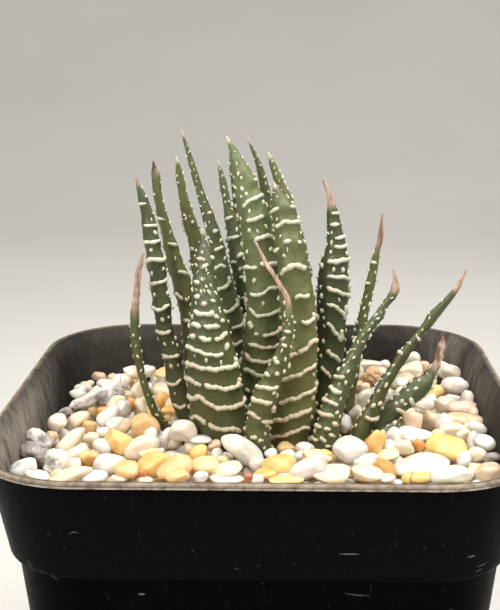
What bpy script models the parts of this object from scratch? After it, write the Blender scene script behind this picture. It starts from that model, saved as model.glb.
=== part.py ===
"""A potted haworthia: a zebra-banded succulent with two offsets, rooted in soil under a
layer of pebbles, in a square nursery pot.

Everything is in metres, +Z up. The origin is the centre of the pot's underside, on the
surface that the pot stands on. -Y is the front.
"""

from math import cos, pi, radians, sin

import bmesh
import bpy
from mathutils import Euler, Vector

MM = 0.001
GAP = 0.3                    # clearance between neighbours, in mm like every size below

# The pot: a tapered square tub with round corners, and a wider collar round its top.
RIM_HALF = 35.0              # half the width over the rim
RIM_CORNER = 14.2            # plan radius of the rim's corners
RIM_HEIGHT = 65.0
WALL = 1.3
FLOOR = 1.5
BASE_HALF = 25.2
BODY_TOP_HALF = 30.6
COLLAR_BASE = 51.5           # height where the body steps out into the collar
COLLAR_STEP = 1.0
COLLAR_TOP_HALF = 34.2
LIP = 1.4                    # height of the bead round the rim
CORNER_STEPS = 5
DRAIN_RADIUS = 3.2
DRAIN_OFFSET = 14.0

# What the pot holds.
SOIL_TOP = 50.0
BED_EDGE = 57.0              # top of the gravel at the wall
BED_MIDDLE = 58.0            # top of the gravel near the plant

# The three crowns that the leaves grow from: centre x, centre y, radius.
CROWN_HEIGHT = 50.5          # height of each crown's widest part
CROWNS = {
    "main": (-0.5, 4.0, 7.0),
    "offset": (10.4, 1.2, 3.6),
    "far": (16.7, 0.8, 2.3),
}
# Outline of a crown of radius 1, from the top of its dome down to the tip of its root.
CROWN_OUTLINE = [(0.0, 0.55), (0.5, 0.5), (0.87, 0.32), (1.0, 0.1), (0.9, -0.2),
                 (0.5, -0.6), (0.22, -1.1), (0.08, -1.7), (0.0, -1.75)]
CROWN_STEPS = 16

# Openings in the gravel that the plant stands in: centre x, centre y, half x, half y.
BED_OPENINGS = [(-1.6, 3.8, 13.8, 12.8), (13.2, 1.0, 9.0, 8.4)]

LEAF_RINGS = 10
LEAF_CORNERS = 8
SPINE_STEPS = 12             # steps between two neighbouring points of a leaf's spine
LEAF_FOOT_LIFT = 0.7         # from the crown's skin to the middle of a leaf's foot
WIDEST = 0.17                # how far along a leaf is widest
FOOT_WIDTH = 0.36            # width of a leaf's foot, as a share of its full width
THREAD_WIDTH = 0.15          # width of its dry thread, as a share of its full width
OUTER_SHARE = 0.64           # how much of a leaf's thickness lies on its outer side

# Each leaf: its crown, its foot (degrees round the crown, share of the crown's radius),
# the points its middle passes through above the foot, its width and thickness, the way its
# outer face looks (degrees round from +X), its taper (1 straight, 2 full until near the
# tip), and how much of its length is a dry thread.
LEAVES = {
    "leaf_front_left": ("main", -128, 0.9,
                        [(-6.0, -3.2, 60), (-6.4, -3.9, 70), (-7.3, -3.3, 78), (-8.2, 0.0, 88.3)],
                        8.2, 4.2, -92, 2.2, 0.08),
    "leaf_front_right": ("main", -52, 0.9,
                         [(4.0, -2.9, 60), (4.5, -3.2, 71), (4.0, -2.2, 83), (3.0, -0.6, 89), (1.2, 1.0, 94.7)],
                         7.6, 4.2, -84, 2.2, 0.08),
    "leaf_front_small": ("main", -90, 0.95,
                         [(0.1, -6.8, 57.5), (-0.3, -7.8, 63), (2.0, -8.2, 70.5), (3.8, -7.8, 77.5),
                          (2.4, -7.2, 82), (-0.2, -6.0, 87.6)],
                         3.7, 2.4, -95, 1.9, 0.25),
    "leaf_centre": ("main", -82, 0.4,
                    [(-1.4, 1.6, 61), (-0.3, 1.4, 74), (0.4, 1.9, 85), (-1.3, 3.0, 93), (-4.7, 4.0, 100.6)],
                    5.1, 3.2, -90, 1.9, 0.05),
    "leaf_tall_left": ("main", -165, 0.45,
                       [(-3.8, 5.4, 62), (-4.1, 5.4, 71), (-5.8, 5.3, 82), (-8.5, 5.6, 92), (-11.3, 6.2, 101.2)],
                       4.0, 2.6, -80, 2.0, 0.06),
    "leaf_inner_left": ("main", 120, 0.3,
                        [(-1.6, 8.2, 62), (-2.4, 8.3, 74), (-4.2, 8.0, 86), (-6.4, 8.0, 96.7)],
                        3.4, 2.2, -110, 1.8, 0.05),
    "leaf_inner_back": ("main", 103, 0.6,
                        [(-3.2, 11.2, 62), (-2.8, 11.2, 80), (-3.8, 10.6, 91), (-4.9, 10.0, 98.6)],
                        3.0, 2.0, 90, 1.6, 0.05),
    "leaf_inner_right": ("main", 55, 0.5,
                         [(1.7, 10.6, 62), (1.4, 10.8, 80), (0.3, 11.0, 92.6), (-2.2, 11.0, 99.6)],
                         3.6, 2.2, -80, 1.8, 0.05),
    "leaf_right": ("main", 0, 0.78,
                   [(5.4, 4.6, 61), (5.7, 4.4, 76), (4.6, 4.6, 86), (3.3, 5.4, 91.5), (0.9, 6.0, 98.1)],
                   5.0, 2.8, -75, 2.0, 0.05),
    "leaf_left_dry": ("main", 197, 0.92,
                      [(-12.6, 1.6, 57.2), (-16.0, 0.0, 62.6), (-18.1, -0.8, 72), (-17.4, -1.0, 80), (-16.1, -1.0, 85.5)],
                      2.8, 2.0, -110, 1.2, 0.22),
    "leaf_left_outer": ("main", 172, 0.9,
                        [(-11.0, 3.2, 59.5), (-13.1, 2.6, 69), (-14.6, 2.4, 80), (-17.4, 3.0, 95)],
                        3.4, 2.3, -105, 1.9, 0.06),
    "leaf_left_inner": ("main", 150, 0.9,
                        [(-9.6, 7.0, 60.5), (-10.9, 7.0, 70), (-12.6, 7.4, 82), (-15.7, 8.0, 96.7)],
                        3.3, 2.2, -110, 1.9, 0.07),
    "leaf_left_back": ("main", 136, 0.92,
                       [(-8.0, 10.6, 61), (-9.3, 11.0, 76), (-11.0, 11.6, 87), (-12.8, 12.0, 96.8)],
                       3.1, 2.0, 100, 1.7, 0.04),
    "leaf_back_low": ("main", 117, 0.95,
                      [(-6.2, 13.6, 60), (-8.2, 15.4, 68), (-9.6, 17.0, 77)],
                      4.0, 2.4, 125, 1.8, 0.08),
    "leaf_back_left": ("main", 92, 0.95,
                       [(-1.6, 14.8, 60), (-2.6, 16.0, 72), (-2.4, 16.4, 86)],
                       4.8, 2.6, 100, 2.0, 0.06),
    "leaf_back_right": ("main", 66, 0.92,
                        [(4.0, 13.6, 60), (4.8, 14.6, 72), (3.8, 15.0, 87)],
                        4.6, 2.6, 75, 2.0, 0.06),
    "leaf_right_back": ("main", 33, 0.9,
                        [(8.2, 9.6, 60), (9.6, 10.8, 70), (9.6, 11.6, 80)],
                        4.2, 2.4, 30, 1.9, 0.08),
    "offset_leaf_upright": ("offset", 190, 0.6,
                            [(9.0, 1.8, 59), (10.0, 2.6, 70), (10.6, 2.8, 82), (9.9, 3.0, 90), (8.2, 3.0, 94.8)],
                            5.0, 3.4, -75, 2.0, 0.09),
    "offset_leaf_slender": ("offset", 62, 0.85,
                            [(12.6, 4.6, 61), (14.2, 5.0, 71), (15.9, 5.0, 80), (17.0, 5.0, 89.8)],
                            2.2, 1.7, -70, 1.5, 0.12),
    "offset_leaf_hooked": ("offset", -95, 0.85,
                           [(9.4, -4.0, 58.5), (11.2, -3.6, 65), (13.7, -2.6, 71.5), (16.4, -1.8, 76.2),
                            (18.8, -1.2, 79.6), (18.5, -1.0, 82.8)],
                           4.2, 3.0, -85, 1.6, 0.12),
    "offset_leaf_back": ("offset", 110, 0.9,
                         [(11.6, 7.6, 59.5), (12.0, 10.0, 64), (11.6, 11.8, 68.5)],
                         3.0, 2.0, 85, 1.8, 0.1),
    "far_leaf_long": ("far", -140, 0.8,
                      [(14.4, -1.6, 58.5), (17.0, -0.9, 63.6), (20.9, 0.6, 70.3), (25.8, 2.2, 76.6), (28.7, 3.0, 81.8)],
                      3.0, 2.2, -55, 1.1, 0.12),
    "far_leaf_low": ("far", 20, 0.7,
                     [(17.6, 1.6, 59.2), (21.6, 3.4, 63.0), (25.0, 5.0, 66.0), (26.4, 6.0, 71.2)],
                     3.1, 2.4, -60, 3.6, 0.3),
    "far_leaf_stub": ("far", -55, 0.8,
                      [(17.6, -2.0, 58.2), (19.0, -2.1, 60.4), (19.9, -2.0, 61.6)],
                      3.2, 2.0, -50, 2.4, 0.1),
    "far_leaf_back": ("far", 105, 0.8,
                      [(16.4, 4.8, 58.5), (17.3, 6.8, 62), (18.0, 8.0, 64.8)],
                      2.4, 1.7, 70, 1.5, 0.12),
}

# The larger pebbles that lie loose on the gravel: x, y, length, width, height, and the way
# the length points (degrees round from +X).
PEBBLES = {
    "pebble_white_round": (-4.2, -9.6, 4.8, 3.6, 3.0, -35),
    "pebble_amber_long": (-13.6, -12.6, 5.6, 3.6, 2.8, 12),
    "pebble_yellow_small": (-9.3, -9.8, 3.8, 2.7, 2.4, 20),
    "pebble_amber_left": (-19.0, -6.2, 3.6, 2.9, 2.6, -40),
    "pebble_yellow_front": (2.4, -14.4, 4.2, 2.9, 2.2, 5),
    "pebble_orange_tall": (16.5, -7.4, 2.9, 2.6, 3.1, 70),
    "pebble_yellow_block": (25.6, -7.2, 5.8, 3.9, 2.9, 8),
    "pebble_white_right": (11.2, -10.2, 5.0, 3.8, 3.0, -10),
    "pebble_orange_back": (18.0, 23.5, 3.3, 2.7, 2.6, 60),
    "pebble_amber_back": (-17.6, 26.0, 3.3, 2.5, 2.2, 15),
    "pebble_amber_side": (-17.4, 12.6, 4.0, 3.4, 2.8, -50),
    "pebble_brown_small": (-22.8, 10.4, 2.6, 2.3, 2.2, 0),
    "pebble_white_side": (24.6, -1.4, 4.4, 3.3, 2.4, 15),
    "pebble_cream_long": (27.9, 8.6, 6.4, 3.0, 2.5, 12),
    "pebble_grey_front": (-27.2, -8.6, 4.8, 3.8, 2.8, 35),
    "pebble_grey_back": (-24.4, 17.2, 5.0, 3.5, 2.6, 50),
}

GREEN = (0.060, 0.105, 0.040)
BLACK = (0.012, 0.012, 0.014)
EARTH = (0.045, 0.030, 0.020)
CREAM = (0.780, 0.700, 0.560)
CORK = (0.180, 0.140, 0.080)


def clear_scene():
    for item in list(bpy.data.objects):
        bpy.data.objects.remove(item, do_unlink=True)


def new_collection(name):
    group = bpy.data.collections.new(name)
    bpy.context.scene.collection.children.link(group)
    return group


def new_material(name, colour, roughness, metallic=0.0):
    material = bpy.data.materials.new(name)
    material.use_nodes = True
    shader = material.node_tree.nodes["Principled BSDF"]
    shader.inputs["Base Color"].default_value = (*colour, 1.0)
    shader.inputs["Roughness"].default_value = roughness
    shader.inputs["Metallic"].default_value = metallic
    return material


def add_object(name, mesh, group, parent, material=None):
    thing = bpy.data.objects.new(name, mesh)
    group.objects.link(thing)
    thing.parent = parent
    if material:
        mesh.materials.append(material)
    mesh.shade_smooth()
    mesh.set_sharp_from_angle(angle=radians(38))
    return thing


def make_loft(rings, tip=None):
    """A closed skin through rings of equally many points, ending in a face or at a tip."""
    form = bmesh.new()
    loops = [[form.verts.new(point) for point in ring] for ring in rings]
    count = len(loops[0])
    for lower, upper in zip(loops, loops[1:]):
        for k in range(count):
            after = (k + 1) % count
            form.faces.new((lower[k], lower[after], upper[after], upper[k]))
    form.faces.new(list(reversed(loops[0])))
    if tip is None:
        form.faces.new(loops[-1])
    else:
        point = form.verts.new(tip)
        for k in range(count):
            form.faces.new((loops[-1][k], loops[-1][(k + 1) % count], point))
    bmesh.ops.recalc_face_normals(form, faces=form.faces)
    mesh = bpy.data.meshes.new("loft")
    form.to_mesh(mesh)
    form.free()
    return mesh


def add_turned(name, outline, group, parent, material=None):
    """A profile that runs down its outer side, turned about its own Z axis."""
    mesh = bpy.data.meshes.new(name)
    points = [Vector((radius, 0.0, height)) * MM for radius, height in outline]
    mesh.from_pydata(points, [(k, k + 1) for k in range(len(points) - 1)], [])
    thing = add_object(name, mesh, group, parent, material)
    screw = thing.modifiers.new("turn", "SCREW")
    screw.steps = CROWN_STEPS
    screw.render_steps = CROWN_STEPS
    screw.use_merge_vertices = True
    screw.merge_threshold = 0.00001
    screw.use_smooth_shade = True
    return thing


def cut(thing, cutter):
    cutter.hide_render = True
    cutter.display_type = "WIRE"
    knife = thing.modifiers.new("cut", "BOOLEAN")
    knife.operation = "DIFFERENCE"
    knife.solver = "EXACT"
    knife.object = cutter


def add_cylinder_cutter(name, group, centre, half_x, half_y, depth):
    form = bmesh.new()
    bmesh.ops.create_cone(form, cap_ends=True, segments=24, radius1=1.0, radius2=1.0, depth=1.0)
    bmesh.ops.scale(form, vec=Vector((half_x, half_y, depth)) * MM, verts=form.verts)
    mesh = bpy.data.meshes.new(name)
    form.to_mesh(mesh)
    form.free()
    thing = bpy.data.objects.new(name, mesh)
    group.objects.link(thing)
    thing.location = Vector(centre) * MM
    return thing


# ---- the pot and what fills it ---------------------------------------------------------

def square_ring(half, height):
    """A square with round corners. The corners' centres stay put as the square shrinks."""
    corner = max(RIM_CORNER - (RIM_HALF - half), 2.5)
    centre = half - corner
    points = []
    for quarter in range(4):
        middle = radians(45 + 90 * quarter)
        cx = centre * (1 if cos(middle) > 0 else -1)
        cy = centre * (1 if sin(middle) > 0 else -1)
        for step in range(CORNER_STEPS + 1):
            angle = radians(90 * quarter + 90 * step / CORNER_STEPS)
            points.append(Vector((cx + corner * cos(angle), cy + corner * sin(angle), height)) * MM)
    return points


def between(value, low, high, at_low, at_high):
    return at_low + (value - low) / (high - low) * (at_high - at_low)


def body_half(height):
    """Half the outer width of the pot's body at a height below the collar."""
    return between(height, 0.0, COLLAR_BASE, BASE_HALF, BODY_TOP_HALF)


def collar_half(height):
    """Half the outer width of the collar."""
    return between(height, COLLAR_BASE, RIM_HEIGHT, BODY_TOP_HALF + COLLAR_STEP, COLLAR_TOP_HALF)


def pot_outline():
    """The pot's section: up the outside, over the rim and down the inside."""
    lip_base = RIM_HEIGHT - LIP
    inner_step = COLLAR_BASE + WALL
    rounding = 0.45
    ease = 0.2
    rim_inner = COLLAR_TOP_HALF - WALL
    return [
        (body_half(0) - 0.6, 0.0),
        (body_half(0), 0.6),
        (body_half(COLLAR_BASE), COLLAR_BASE - ease),
        (body_half(COLLAR_BASE) + COLLAR_STEP, COLLAR_BASE + ease),
        (collar_half(lip_base), lip_base - ease),
        (RIM_HALF, lip_base + ease),
        (RIM_HALF, RIM_HEIGHT - rounding),
        (RIM_HALF - rounding, RIM_HEIGHT),
        (rim_inner + rounding, RIM_HEIGHT),
        (rim_inner, RIM_HEIGHT - rounding),
        (collar_half(inner_step) - WALL, inner_step + 0.3),
        (body_half(inner_step) - WALL, inner_step - 0.3),
        (body_half(FLOOR) - WALL, FLOOR + 1.0),
        (body_half(FLOOR) - WALL - 1.0, FLOOR),
    ]


def add_pot(parts, cutters, parent):
    rings = [square_ring(half, height) for half, height in pot_outline()]
    pot = add_object("pot", make_loft(rings), parts, parent, new_material("black plastic", BLACK, 0.35))
    holes = [(0.0, 0.0)]
    holes += [(x * DRAIN_OFFSET, y * DRAIN_OFFSET) for x in (-1, 1) for y in (-1, 1)]
    for index, (x, y) in enumerate(holes, 1):
        cutter = add_cylinder_cutter(f"drain_cutter_{index}", cutters, (x, y, 0.0),
                                     DRAIN_RADIUS, DRAIN_RADIUS, 6.0)
        cut(pot, cutter)


def add_soil(parts, cutters, parent):
    low = FLOOR + GAP
    rings = [
        square_ring(body_half(low) - WALL - 1.0 - GAP, low),
        square_ring(body_half(low) - WALL - GAP, low + 1.0),
        square_ring(body_half(SOIL_TOP) - WALL - GAP, SOIL_TOP),
    ]
    soil = add_object("soil", make_loft(rings), parts, parent, new_material("potting soil", EARTH, 0.95))
    for name, (x, y, radius) in CROWNS.items():
        cutter = add_turned(f"pocket_cutter_{name}", pocket_outline(radius), cutters, None)
        cutter.location = Vector((x, y, 0.0)) * MM
        cut(soil, cutter)


def bed_height(x, y):
    """Top of the gravel: highest near the plant and falling to the wall."""
    edge = collar_half(BED_EDGE) - WALL - GAP
    return between(max(abs(x), abs(y)), 0.0, edge, BED_MIDDLE, BED_EDGE)


def add_gravel_bed(parts, cutters, parent):
    inner_step = COLLAR_BASE + WALL
    low = SOIL_TOP + GAP
    edge = collar_half(BED_EDGE) - WALL - GAP
    rings = [
        square_ring(body_half(low) - WALL - GAP, low),
        square_ring(body_half(inner_step) - WALL - GAP, inner_step),
        square_ring(collar_half(inner_step) - WALL - GAP, inner_step + 0.8),
        square_ring(edge, BED_EDGE),
        square_ring(edge * 0.6, bed_height(edge * 0.6, 0.0)),
        square_ring(edge * 0.5, bed_height(edge * 0.5, 0.0)),
    ]
    bed = add_object("gravel_bed", make_loft(rings), parts, parent, new_material("pale gravel", CREAM, 0.55))
    for index, (x, y, half_x, half_y) in enumerate(BED_OPENINGS, 1):
        cutter = add_cylinder_cutter(f"opening_cutter_{index}", cutters,
                                     (x, y, BED_EDGE), half_x, half_y, 24.0)
        cut(bed, cutter)


def add_pebble(name, place, parts, parent, material):
    x, y, length, width, height, turn = place
    form = bmesh.new()
    bmesh.ops.create_icosphere(form, subdivisions=2, radius=0.5)
    bmesh.ops.scale(form, vec=Vector((length, width, height)) * MM, verts=form.verts)
    mesh = bpy.data.meshes.new(name)
    form.to_mesh(mesh)
    form.free()
    pebble = add_object(name, mesh, parts, parent, material)
    pebble.location = Vector((x, y, bed_height(x, y) + GAP + height / 2)) * MM
    pebble.rotation_euler = Euler((0.0, 0.0, radians(turn)))


# ---- the plant -------------------------------------------------------------------------

def crown_outline(radius):
    return [(radius * across, CROWN_HEIGHT + radius * up) for across, up in CROWN_OUTLINE]


def pocket_outline(radius):
    """The hole in the soil that a crown's root sits in: its outline, grown by the gap."""
    grown = GAP + 0.15
    below = [(across + grown, height) for across, height in crown_outline(radius) if height < SOIL_TOP]
    top = SOIL_TOP + 4.0
    return [(0.0, top), (radius + grown, top), (radius + grown, SOIL_TOP)] + below[:-1] + [
        (0.0, below[-1][1] - grown)]


def dome_height(radius, share):
    """Height of a crown's skin at a share of its radius from its middle."""
    for (near, high), (far, low) in zip(CROWN_OUTLINE, CROWN_OUTLINE[1:]):
        if share <= far:
            return CROWN_HEIGHT + radius * between(share, near, far, high, low)
    return CROWN_HEIGHT


def leaf_spine(crown, angle, share, points):
    """Points along the leaf's middle, evenly spaced from its foot on the crown to its tip."""
    x, y, radius = CROWNS[crown]
    reach = radius * share
    foot = Vector((x + reach * cos(radians(angle)), y + reach * sin(radians(angle)),
                   dome_height(radius, share) + LEAF_FOOT_LIFT))
    knots = [foot] + [Vector(point) for point in points]
    knots = [2 * knots[0] - knots[1]] + knots + [2 * knots[-1] - knots[-2]]
    path = []
    for a, b, c, d in zip(knots, knots[1:], knots[2:], knots[3:]):
        for step in range(SPINE_STEPS):
            t = step / SPINE_STEPS
            path.append(0.5 * (2 * b + (c - a) * t + (2 * a - 5 * b + 4 * c - d) * t ** 2
                               + (3 * b - 3 * c + d - a) * t ** 3))
    path.append(knots[-2])
    return path


def along(path, share):
    """The point at a share of the path's length, and the way the path runs there."""
    lengths = [0.0]
    for before, after in zip(path, path[1:]):
        lengths.append(lengths[-1] + (after - before).length)
    wanted = share * lengths[-1]
    k = 1
    while lengths[k] < wanted and k < len(path) - 1:
        k += 1
    t = (wanted - lengths[k - 1]) / (lengths[k] - lengths[k - 1])
    return path[k - 1].lerp(path[k], t), (path[k] - path[k - 1]).normalized()


def leaf_width(share, taper, dry):
    """Width at a share of the length, for a leaf whose full width is 1."""
    if share < WIDEST:
        ease = share / WIDEST
        return FOOT_WIDTH + (1 - FOOT_WIDTH) * ease * ease * (3 - 2 * ease)
    if share < 1 - dry:
        run = (share - WIDEST) / (1 - dry - WIDEST)
        return THREAD_WIDTH + (1 - THREAD_WIDTH) * (1 - run ** taper)
    return THREAD_WIDTH * ((1 - share) / dry) ** 0.5


def add_leaf(name, crown, angle, share, points, width, thick, facing, taper, dry, parts, parent, material):
    path = leaf_spine(crown, angle, share, points)
    outward = Vector((cos(radians(facing)), sin(radians(facing)), 0.0))
    foot = path[0]
    rings = []
    for k in range(LEAF_RINGS):
        at = k / LEAF_RINGS
        centre, run = along(path, at)
        face = (outward - outward.dot(run) * run).normalized()
        side = run.cross(face)
        size = leaf_width(at, taper, dry)
        ring = []
        for corner in range(LEAF_CORNERS):
            turn = 2 * pi * corner / LEAF_CORNERS
            depth = thick * size * (OUTER_SHARE if sin(turn) > 0 else 1 - OUTER_SHARE)
            ring.append((centre - foot + side * cos(turn) * width * size / 2 + face * sin(turn) * depth) * MM)
        rings.append(ring)
    leaf = add_object(name, make_loft(rings, (path[-1] - foot) * MM), parts, parent, material)
    leaf.location = foot * MM


def add_plant(parts, parent):
    cork = new_material("crown skin", CORK, 0.8)
    for name, (x, y, radius) in CROWNS.items():
        crown = add_turned(f"crown_{name}", crown_outline(radius), parts, parent, cork)
        crown.location = Vector((x, y, 0.0)) * MM
    skin = new_material("leaf skin", GREEN, 0.45)
    for name, shape in LEAVES.items():
        add_leaf(name, *shape, parts, parent, skin)


def main():
    clear_scene()
    parts = new_collection("potted_haworthia")
    cutters = new_collection("cutters")
    root = bpy.data.objects.new("haworthia_root", None)
    parts.objects.link(root)
    add_pot(parts, cutters, root)
    add_soil(parts, cutters, root)
    add_gravel_bed(parts, cutters, root)
    add_plant(parts, root)
    stone = new_material("pebble", CREAM, 0.4)
    for name, place in PEBBLES.items():
        add_pebble(name, place, parts, root, stone)


main()
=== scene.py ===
# %% [markdown]
# # A striped haworthia in a square pot
#
# The object is a small succulent with pointed green leaves that carry raised white bands. It
# stands with two offsets in a square black nursery pot, and polished pebbles cover the soil.
# The solid model gives every size and place. This lesson keeps those places and builds the
# surfaces that make the object look real: fleshy skin, chalky bands, stones and worn plastic.

# %% Load the solid model as the fixed frame
import math
from collections import namedtuple

import bmesh
import bpy
import numpy as np
from mathutils import Matrix, Vector
from mathutils.kdtree import KDTree


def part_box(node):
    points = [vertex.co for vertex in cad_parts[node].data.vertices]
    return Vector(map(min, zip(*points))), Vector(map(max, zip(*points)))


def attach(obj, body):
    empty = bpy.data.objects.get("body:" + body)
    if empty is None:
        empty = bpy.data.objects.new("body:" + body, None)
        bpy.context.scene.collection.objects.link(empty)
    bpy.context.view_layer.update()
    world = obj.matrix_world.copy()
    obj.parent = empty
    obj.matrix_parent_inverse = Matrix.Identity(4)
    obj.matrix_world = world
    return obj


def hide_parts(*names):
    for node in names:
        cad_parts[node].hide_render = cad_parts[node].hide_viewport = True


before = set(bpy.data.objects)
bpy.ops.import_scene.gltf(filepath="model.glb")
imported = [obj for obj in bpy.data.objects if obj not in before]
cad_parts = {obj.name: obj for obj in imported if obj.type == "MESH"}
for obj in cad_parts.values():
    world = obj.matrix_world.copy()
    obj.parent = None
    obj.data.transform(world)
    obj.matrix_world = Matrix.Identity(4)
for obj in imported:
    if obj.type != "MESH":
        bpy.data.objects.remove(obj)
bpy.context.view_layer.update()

MM = 0.001

# %% [markdown]
# ## Camera, floor and light
#
# The camera looks down on the stones by about fourteen degrees from a hand's length away, so the
# leaves stand up in front of the far rim. It is placed by its distance from the rim's middle,
# and a small roll matches a hand-held view.

# %% Place the camera
pot_low, pot_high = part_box("pot")
RIM_TOP = pot_high.z
CAMERA_FROM_RIM = (3.56 * MM, -151.94 * MM, 51.53 * MM)
LENS = 66.0              # focal length on a sensor 36 mm wide
TURN, DIP, ROLL = 1.92, 14.44, 0.32      # degrees: to the left, down, clockwise

camera_data = bpy.data.cameras.new("camera")
camera_data.lens = LENS
camera_data.clip_start = 5 * MM
camera = bpy.data.objects.new("camera", camera_data)
bpy.context.scene.collection.objects.link(camera)
turn = Matrix.Rotation(math.radians(TURN), 4, "Z")
tip_down = Matrix.Rotation(math.radians(90 - DIP), 4, "X")
roll = Matrix.Rotation(math.radians(-ROLL), 4, "Z")
pot_middle = (pot_low + pot_high) / 2
rim_middle = (pot_middle.x, pot_middle.y, RIM_TOP)
place = [start + step for start, step in zip(rim_middle, CAMERA_FROM_RIM)]
camera.matrix_world = Matrix.Translation(place) @ turn @ tip_down @ roll
bpy.context.scene.camera = camera
print("camera at, mm:", [round(v / MM, 1) for v in place])

# %% [markdown]
# A studio sweep is a floor that curves up behind the object, so no edge shows. It is one strip
# of quads bent along a quarter circle. The lights are three wide area lamps: one
# above that models the stones, one high at the front left for the leaves, and one high at the
# right that reaches the stones behind the leaves. The pale air round them fills the shadows.

# %% Build the studio
def lay_floor(width=3.0, front=-1.6, back=0.9, rise=1.1, bend=0.45, steps=24):
    """A pale sheet: flat, then a quarter circle, then upright."""
    line = [(front, 0.0), (back - bend, 0.0)]
    for step in range(1, steps + 1):
        angle = math.radians(90 * step / steps)
        line.append((back - bend + bend * math.sin(angle), bend - bend * math.cos(angle)))
    line.append((back, rise))
    points = [(x, y, z) for y, z in line for x in (-width / 2, width / 2)]
    faces = [(2 * i, 2 * i + 1, 2 * i + 3, 2 * i + 2) for i in range(len(line) - 1)]
    mesh = bpy.data.meshes.new("studio_floor")
    mesh.from_pydata(points, [], faces)
    mesh.polygons.foreach_set("use_smooth", [True] * len(faces))
    sheet = bpy.data.objects.new("studio_floor", mesh)
    bpy.context.scene.collection.objects.link(sheet)
    return sheet


def hang_lamp(name, place, size, watts, colour, target=Vector((0.0, 0.0, 0.065))):
    """A soft square lamp that faces the target, which is the pot's rim unless said."""
    lamp = bpy.data.lights.new(name, "AREA")
    lamp.shape, lamp.size, lamp.energy, lamp.color = "SQUARE", size, watts, colour
    thing = bpy.data.objects.new(name, lamp)
    bpy.context.scene.collection.objects.link(thing)
    thing.location = place
    thing.rotation_euler = (thing.location - target).to_track_quat("Z", "Y").to_euler()


AIR = (0.84, 0.825, 0.785, 1.0)
AIR_STRENGTH = 0.50

floor = lay_floor()
hang_lamp("top_lamp", (0.05, -0.05, 0.55), 0.32, 2.9, (1.0, 0.965, 0.90))
hang_lamp("left_lamp", (-0.30, -0.42, 0.42), 0.25, 2.5, (1.0, 0.97, 0.93))
hang_lamp("right_lamp", (0.32, -0.16, 0.46), 0.35, 1.6, (1.0, 0.98, 0.95))

world = bpy.data.worlds.new("studio_air")
world.use_nodes = True
world.node_tree.nodes["Background"].inputs["Color"].default_value = AIR
world.node_tree.nodes["Background"].inputs["Strength"].default_value = AIR_STRENGTH
bpy.context.scene.world = world
# Standard shows each colour as it is set. The usual film curve would grey the white bands.
bpy.context.scene.view_settings.view_transform = "Standard"
print("studio: one sweep and", len(bpy.data.lights), "lamps")

# %% [markdown]
# ## Finishes that several materials share
#
# Real surfaces are never one colour. Each effect below is a node group: a small machine with
# named inputs that puts out a mask or a height. It is built once, and every material places it
# with its own values. It varies by the place on the object, so nothing slides with the view.

# %% Helpers for node trees
def feed(tree, socket, value):
    """Gives an input socket a value, which is another node's output or a plain value."""
    if isinstance(value, bpy.types.NodeSocket):
        tree.links.new(value, socket)
    else:
        socket.default_value = value


def add_node(tree, kind, **settings):
    """A node of this kind. A setting's name is one of its properties or its input sockets."""
    node = tree.nodes.new(kind)
    for name, value in settings.items():
        if hasattr(node, name):
            setattr(node, name, value)
        else:
            feed(tree, node.inputs[name], value)
    return node


def feed_all(tree, kind, values, **settings):
    """A node whose first input sockets take these values. Returns its first output socket."""
    node = add_node(tree, kind, **settings)
    for socket, value in zip(node.inputs, values):
        feed(tree, socket, value)
    return node.outputs[0]


def read_attribute(tree, name):
    """The value socket of a named mesh attribute."""
    return add_node(tree, "ShaderNodeAttribute", attribute_name=name).outputs["Fac"]


def work_out(tree, kind, *values, clamp=False):
    """A maths node. Each value is a socket or a number."""
    return feed_all(tree, "ShaderNodeMath", values, operation=kind, use_clamp=clamp)


def times(tree, first, second, clamp=False):
    return work_out(tree, "MULTIPLY", first, second, clamp=clamp)


def plus(tree, first, second, clamp=False):
    return work_out(tree, "ADD", first, second, clamp=clamp)


def shift_range(tree, value, low, high, to_low=0.0, to_high=1.0):
    """Maps low..high to to_low..to_high, eased at both ends."""
    return feed_all(tree, "ShaderNodeMapRange", (value, low, high, to_low, to_high),
                    interpolation_type="SMOOTHSTEP")


def mix_colours(tree, factor, first, second, blend="MIX"):
    """A colour mix. Its colour sockets are the seventh and the eighth."""
    node = add_node(tree, "ShaderNodeMix", data_type="RGBA", blend_type=blend)
    for index, value in ((0, factor), (6, first), (7, second)):
        feed(tree, node.inputs[index], value)
    return node.outputs[2]


def tinge(tree, base, mask, strength, tone, blend="MIX"):
    """Lays a tone over the base colour where the mask says, at no more than this strength."""
    return mix_colours(tree, times(tree, mask, strength), base, tone, blend)


print("node helpers ready")


# %% Helpers for node groups
def start_group(name, inputs, *outputs):
    """A node group with these inputs, each with its usual value, and these value outputs.
    Returns its tree, the sockets that give the inputs, and those that take the outputs."""
    tree = bpy.data.node_groups.new(name, "ShaderNodeTree")
    for label, value in inputs.items():
        kind = "NodeSocketVector" if isinstance(value, tuple) else "NodeSocketFloat"
        socket = tree.interface.new_socket(name=label, in_out="INPUT", socket_type=kind)
        socket.default_value = value
    for label in outputs:
        tree.interface.new_socket(name=label, in_out="OUTPUT", socket_type="NodeSocketFloat")
    return (tree, tree.nodes.new("NodeGroupInput").outputs,
            tree.nodes.new("NodeGroupOutput").inputs)


def end_group(tree, results, **values):
    """Joins each value to the group's output of that name, and tells how large it grew."""
    for name, value in values.items():
        tree.links.new(value, results[name])
    print(f"group {tree.name}: {len(tree.nodes)} nodes")
    return tree


def use_group(tree, group, **values):
    """Places a node group with its own values. Returns its output sockets."""
    node = add_node(tree, "ShaderNodeGroup", node_tree=group)
    for name, value in values.items():
        node.inputs[name.replace("_", " ").capitalize()].default_value = value
    return node.outputs


def on_object(tree):
    """The place on the object, which every pattern is tied to."""
    return tree.nodes.new("ShaderNodeTexCoord").outputs["Object"]


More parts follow.
